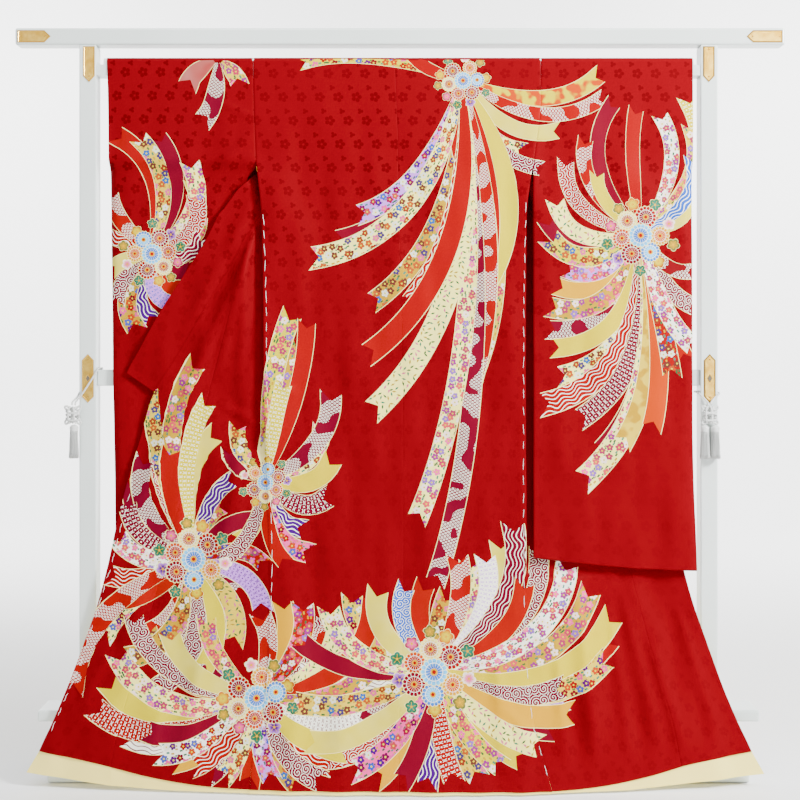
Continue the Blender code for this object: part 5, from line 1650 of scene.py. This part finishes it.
# Name, middle across, middle height, half length, half width, points at (low, high) ends, lies along X
PLATES = (
    ("plate_top_left", -0.6910, 1.5965, 0.0400, 0.0128, (True, False), False),
    ("plate_top_right", 0.6930, 1.5965, 0.0400, 0.0128, (True, False), False),
    ("plate_middle_left", -0.6935, 0.8950, 0.0545, 0.0130, (True, True), False),
    ("plate_middle_right", 0.6950, 0.8950, 0.0545, 0.0130, (True, True), False),
    ("plate_bar_left", -0.8140, 1.6590, 0.0370, 0.0135, (False, True), True),
    ("plate_bar_right", 0.8180, 1.6590, 0.0400, 0.0135, (True, False), True),
)
POST_FRONT, BAR_FRONT = -0.0225, -0.0215
PLATE_THICKNESS = 0.0012
PLATE_POINT = 0.014
# The plate's edge and border: how far in and how far out each step lies
PLATE_STEPS = ((0.0, 0.0), (0.0, 0.0008), (0.0004, PLATE_THICKNESS), (0.0024, PLATE_THICKNESS),
               (0.0029, PLATE_THICKNESS - 0.0004))
NAIL_RADIUS = 0.0019
NAIL_INSET = 0.0065
# The diamond's border and its dark middle, a face of painted shadow for the opening: size, height and
# material
DIAMOND = ((0.0075, 0.0010, 1), (0.0058, 0.0013, 2))


def plate(name, x, z, half, width, pointed, along):
    """A bordered plate on the front of its bar, with nails, in the place of its solid."""
    front = (BAR_FRONT if along else POST_FRONT) - GAP

    def spot(p, q, raised):
        return Vector((x + p, front - raised, z + q) if along else (x + q, front - raised, z + p))

    def outline(inset):
        ends = []
        for sign, sharp in ((-1, pointed[0]), (1, pointed[1])):
            shoulder = sign * (half - PLATE_POINT - inset * 0.4 if sharp else half - inset)
            tip = [(sign * (half - inset * 1.3), 0.0)] if sharp else []
            ends += [(shoulder, sign * (width - inset)), *tip, (shoulder, -sign * (width - inset))]
        return ends

    shape = bmesh.new()
    rings = [[shape.verts.new(spot(p, q, raised)) for p, q in outline(inset)]
             for inset, raised in PLATE_STEPS]
    for face in skin(shape, rings)[:-2]:
        face.material_index = 1
    bmesh.ops.recalc_face_normals(shape, faces=shape.faces)
    for sign, sharp in ((1, pointed[1]), (-1, pointed[0])):
        middle = spot(sign * (half - NAIL_INSET - (PLATE_POINT * 0.45 if sharp else 0.0)), 0.0,
                      PLATE_THICKNESS - 0.0004)
        for v in bmesh.ops.create_uvsphere(shape, u_segments=16, v_segments=8, radius=NAIL_RADIUS)["verts"]:
            v.co = middle + Vector((v.co.x, v.co.y * 0.6, v.co.z))
            for face in v.link_faces:
                face.material_index = 1
    if pointed == (True, True):
        for size, raised, index in DIAMOND:
            corners = ((size * 1.25, 0.0), (0.0, size * 0.8), (-size * 1.25, 0.0), (0.0, -size * 0.8))
            sides = skin(shape, [[shape.verts.new(spot(p, q, level)) for p, q in corners]
                                 for level in (0.0006, raised)])
            for face in sides:
                face.material_index = index
            bmesh.ops.recalc_face_normals(shape, faces=sides)
    thing = made(name + "_engraved", shape, gilt, polished, painted_shadow_in_opening)
    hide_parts(name)
    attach(thing, "root")


for row in PLATES:
    plate(*row)

# Cords, knots and tassels
# White silk: a twisted cord tied round each post, a flat knot with a loop at each corner, and tassels of fine
# strands that hang from a bound head, one on the left post and two on the right.

white_silk, tree, shader = shader_of("white_silk_cord", (0.60, 0.61, 0.59), 0.6)
bump(shader, noise(places(tree), 420.0, 1.0), 0.25, 0.0004)
CORD_RADIUS = 0.0022
CORD_PITCH = 0.0075
CORD_STRANDS = 3
KNOT_Y = -0.0345
KNOT_LEFT = (-0.7240, 0.8140)
KNOT_RIGHT = (0.6930, 0.8140)
TASSEL_LEFT = -0.7215
TASSEL_RIGHT = (0.6812, 0.7048)
TASSEL_Y = -0.0350
TASSEL_TOPS = (0.7922, 0.7909)
HEAD_HEIGHT = 0.013
# The tassel's bound head from its top down: radius and drop
HEAD = ((0.0030, 0.0004), (0.0062, -0.0010), (0.0088, -0.0040), (0.0098, -0.0070), (0.0086, -0.0096),
        (0.0094, -0.0108), (0.0086, -0.0120), (0.0094, -0.0132), (0.0080, -0.0150))
HEAD_SIDES = 28
SKIRT = 0.062
STRANDS = 210
STRAND_RADIUS = 0.00046
STRANDS_REACH = 0.0084
SUNK = 0.003
GOLDEN_TURN = 2.39996
POST_MIDDLE = 0.6942
# Routes of the two cords round their posts, from the knot's top back to it: distance out from the post's
# middle (towards the near end of the bar is positive), depth, height
CORD_LEFT = (
    (0.0250, -0.0335, 0.8362), (0.0245, -0.0300, 0.8425), (0.0160, -0.0270, 0.8540),
    (0.0020, -0.0268, 0.8740), (-0.0120, -0.0268, 0.8960), (-0.0215, -0.0262, 0.9120),
    (-0.0232, -0.0180, 0.9172), (-0.0232, 0.0100, 0.9175), (-0.0225, 0.0235, 0.9160),
    (-0.0140, 0.0262, 0.9100), (0.0060, 0.0262, 0.8900), (0.0190, 0.0255, 0.8760),
    (0.0228, 0.0180, 0.8690), (0.0230, -0.0080, 0.8600), (0.0240, -0.0200, 0.8530),
    (0.0315, -0.0300, 0.8430), (0.0320, -0.0335, 0.8362),
)
CORD_RIGHT = (
    (-0.0050, -0.0335, 0.8362), (-0.0060, -0.0300, 0.8425), (-0.0140, -0.0270, 0.8520),
    (-0.0205, -0.0255, 0.8590), (-0.0228, -0.0180, 0.8620), (-0.0232, 0.0100, 0.8640),
    (-0.0215, 0.0250, 0.8640), (0.0000, 0.0265, 0.8640), (0.0210, 0.0255, 0.8640),
    (0.0230, 0.0100, 0.8640), (0.0228, -0.0180, 0.8620), (0.0200, -0.0255, 0.8590),
    (0.0110, -0.0270, 0.8520), (0.0030, -0.0300, 0.8425), (0.0025, -0.0335, 0.8362),
)


def smooth_line(points, steps):
    """Points on a smooth curve through some points."""
    points = [Vector(p) for p in points]
    line = []
    for i in range(len(points) - 1):
        a, b = points[max(i - 1, 0)], points[i]
        c, d = points[i + 1], points[min(i + 2, len(points) - 1)]
        for k in range(steps):
            t = k / steps
            line.append(0.5 * (2 * b + (c - a) * t + (2 * a - 5 * b + 4 * c - d) * t**2
                               + (3 * b - 3 * c + d - a) * t**3))
    return line + [points[-1]]


def twisted(shape, line, radius, closed=False, sides=12):
    """A laid cord along a line: its section has a lobe for each strand and turns as it goes."""
    rings = []
    run, across_it = 0.0, Vector((0.02, 1, 0.03))
    count = len(line)
    for i, point in enumerate(line):
        after, before = line[(i + 1) % count], line[i - 1]
        if not closed:
            after, before = line[min(i + 1, count - 1)], line[max(i - 1, 0)]
        ahead = (after - before).normalized()
        across_it = (across_it - ahead * across_it.dot(ahead)).normalized()
        other = ahead.cross(across_it)
        run += (point - line[max(i - 1, 0)]).length
        ring = []
        for k in range(sides):
            a = 2 * math.pi * k / sides
            lobe = abs(math.cos((CORD_STRANDS * a - 2 * math.pi * run / CORD_PITCH) / 2))
            r = radius * (0.74 + 0.26 * lobe)
            ring.append(shape.verts.new(point + (across_it * math.cos(a) + other * math.sin(a)) * r))
        rings.append(ring)
    if closed:
        rings.append(rings[0])
    skin(shape, rings, capped=not closed)


def silk_piece(name, shape, node):
    """The finished piece of white silk, in the place of its solid."""
    bmesh.ops.recalc_face_normals(shape, faces=shape.faces)
    for face in shape.faces:
        face.smooth = True
    thing = made(name, shape, white_silk)
    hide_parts(node)
    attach(thing, "root")
    return thing


def tied_cord(name, route, middle, outward):
    """A cord tied round its post, laid along its route."""
    shape = bmesh.new()
    line = smooth_line([(middle + outward * p[0], p[1], p[2]) for p in route], 9)
    twisted(shape, line, CORD_RADIUS)
    thing = silk_piece(name + "_laid", shape, name)


def oval(middle, wide, high, turned, depth=0.0, steps=30):
    """A closed oval of points round a middle, facing -Y, one side lifted over the other."""
    x, y, z = middle
    c, s = math.cos(turned), math.sin(turned)
    points = []
    for i in range(steps):
        a = 2 * math.pi * i / steps
        p, q = wide * math.cos(a), high * math.sin(a)
        points.append(Vector((x + p * c - q * s, y + depth * math.cos(a), z + p * s + q * c)))
    return points


def knot(name, x, z):
    """A flat knot: a woven middle of crossing turns, and an ear at each corner."""
    shape = bmesh.new()
    for i in (-1, 0, 1):
        lifted = 0.0045 * (1 if i else -1)
        upright = oval((x + i * 0.0068, KNOT_Y - 0.0015, z), 0.0032, 0.0175, 0.0, lifted)
        lying = oval((x, KNOT_Y - 0.0015, z + i * 0.0085), 0.0036, 0.0145, math.pi / 2, lifted)
        for turn in (upright, lying):
            twisted(shape, turn, 0.0024, closed=True, sides=8)
    for u, w in ((-1, 1), (1, 1), (-1, -1), (1, -1)):
        ear = oval((x + u * 0.0128, KNOT_Y, z + w * 0.0150), 0.0056, 0.0036, u * w * math.pi / 4, 0.0006)
        twisted(shape, ear, 0.0025, closed=True, sides=8)
    silk_piece(name + "_woven", shape, name)


def tassel(name, x, top):
    """A bound head, and fine strands whose tops are sunk in it, that fall from it and flare a little."""
    shape = bmesh.new()

    def ring(middle, radius, turns):
        return [shape.verts.new(middle + Vector((math.cos(a), math.sin(a), 0)) * radius) for a in turns]

    turns = [2 * math.pi * i / HEAD_SIDES for i in range(HEAD_SIDES)]
    skin(shape, [ring(Vector((x, TASSEL_Y, top + drop)), r, turns) for r, drop in HEAD])
    for i in range(STRANDS):
        r = STRANDS_REACH * math.sqrt((i + 0.5) / STRANDS)
        a = i * GOLDEN_TURN
        fall = SKIRT * rng.uniform(0.94, 1.0) + SUNK
        flare, sway = rng.uniform(1.18, 1.42), rng.uniform(-0.0008, 0.0008)
        rings = []
        for k in range(7):
            t = k / 6
            out = r * (1 + (flare - 1) * t**1.4)
            point = Vector((x + out * math.cos(a) + sway * math.sin(3 * t), TASSEL_Y + out * math.sin(a),
                            top - HEAD_HEIGHT + SUNK - fall * t))
            rings.append(ring(point, STRAND_RADIUS, (a, a + 2.1, a + 4.2)))
        skin(shape, rings)
    silk_piece(name + "_strands", shape, name)


tied_cord("cord_left", CORD_LEFT, -POST_MIDDLE, -1)
tied_cord("cord_right", CORD_RIGHT, POST_MIDDLE, 1)
knot("knot_left", *KNOT_LEFT)
knot("knot_right", *KNOT_RIGHT)
tassel("tassel_left", TASSEL_LEFT, TASSEL_TOPS[0])
tassel("tassel_right_inner", TASSEL_RIGHT[0], TASSEL_TOPS[1])
tassel("tassel_right_outer", TASSEL_RIGHT[1], TASSEL_TOPS[1])

# Picture
# A plain pale studio sweep as floor and background, soft light from the front and above, and a level camera
# before the stand.

SWEEP_START = 4.2
SWEEP_RADIUS = 0.9
SWEEP_HALF_WIDTH = 9.0
SWEEP_TOP = 8.0
FLOOR = -0.002
stage_material, tree, shader = shader_of("studio_sweep", (0.93, 0.93, 0.93), 0.9)
profile = [(-SWEEP_HALF_WIDTH, FLOOR), (SWEEP_START, FLOOR)]
for k in range(1, 13):
    a = k / 12 * math.pi / 2
    profile.append((SWEEP_START + SWEEP_RADIUS * math.sin(a), FLOOR + SWEEP_RADIUS * (1 - math.cos(a))))
profile.append((SWEEP_START + SWEEP_RADIUS, SWEEP_TOP))
mesh = bpy.data.meshes.new("studio_sweep")
mesh.from_pydata([(x, y, z) for y, z in profile for x in (-SWEEP_HALF_WIDTH, SWEEP_HALF_WIDTH)], [],
                 [(2 * k, 2 * k + 1, 2 * k + 3, 2 * k + 2) for k in range(len(profile) - 1)])
mesh.polygons.foreach_set("use_smooth", [True] * len(mesh.polygons))
mesh.materials.append(stage_material)
studio_sweep = new_object("studio_sweep", mesh)

world = bpy.data.worlds.new("studio")
world.use_nodes = True
world.node_tree.nodes["Background"].inputs["Color"].default_value = (0.97, 0.98, 1.0, 1.0)
world.node_tree.nodes["Background"].inputs["Strength"].default_value = 0.66
bpy.context.scene.world = world

# Lamps: name, place, target, size, power
LAMPS = (
    ("key_light", (2.7, -2.0, 2.6), (0.0, 0.0, 0.9), (0.8, 0.8), 370),
    ("fill_light", (-2.2, -3.4, 1.4), (0.0, 0.0, 0.7), (2.6, 2.2), 34),
    ("top_light", (0.0, -1.2, 2.9), (0.0, 0.0, 1.4), (2.2, 0.6), 46),
    ("sweep_light_left", (-2.8, 2.7, 2.8), (-1.3, 5.1, 1.1), (1.8, 1.8), 300),
    ("sweep_light_right", (2.8, 2.7, 2.8), (1.3, 5.1, 1.1), (1.8, 1.8), 300),
)
for name, place, target, size, power in LAMPS:
    light = bpy.data.lights.new(name, "AREA")
    light.shape = "RECTANGLE"
    light.size, light.size_y = size
    light.energy = power
    lamp = new_object(name, light)
    lamp.location = place
    lamp.rotation_euler = (Vector(target) - Vector(place)).to_track_quat("-Z", "Y").to_euler()

lens = bpy.data.cameras.new("camera")
lens.sensor_width = 36.0
lens.lens = 60.0
lens.shift_x = 0.0019
lens.shift_y = -0.069
camera = new_object("camera", lens)
camera.location = (0.0, -EYE_DISTANCE, EYE_HEIGHT)
camera.rotation_euler = (math.pi / 2, 0.0, 0.0)
bpy.context.scene.camera = camera
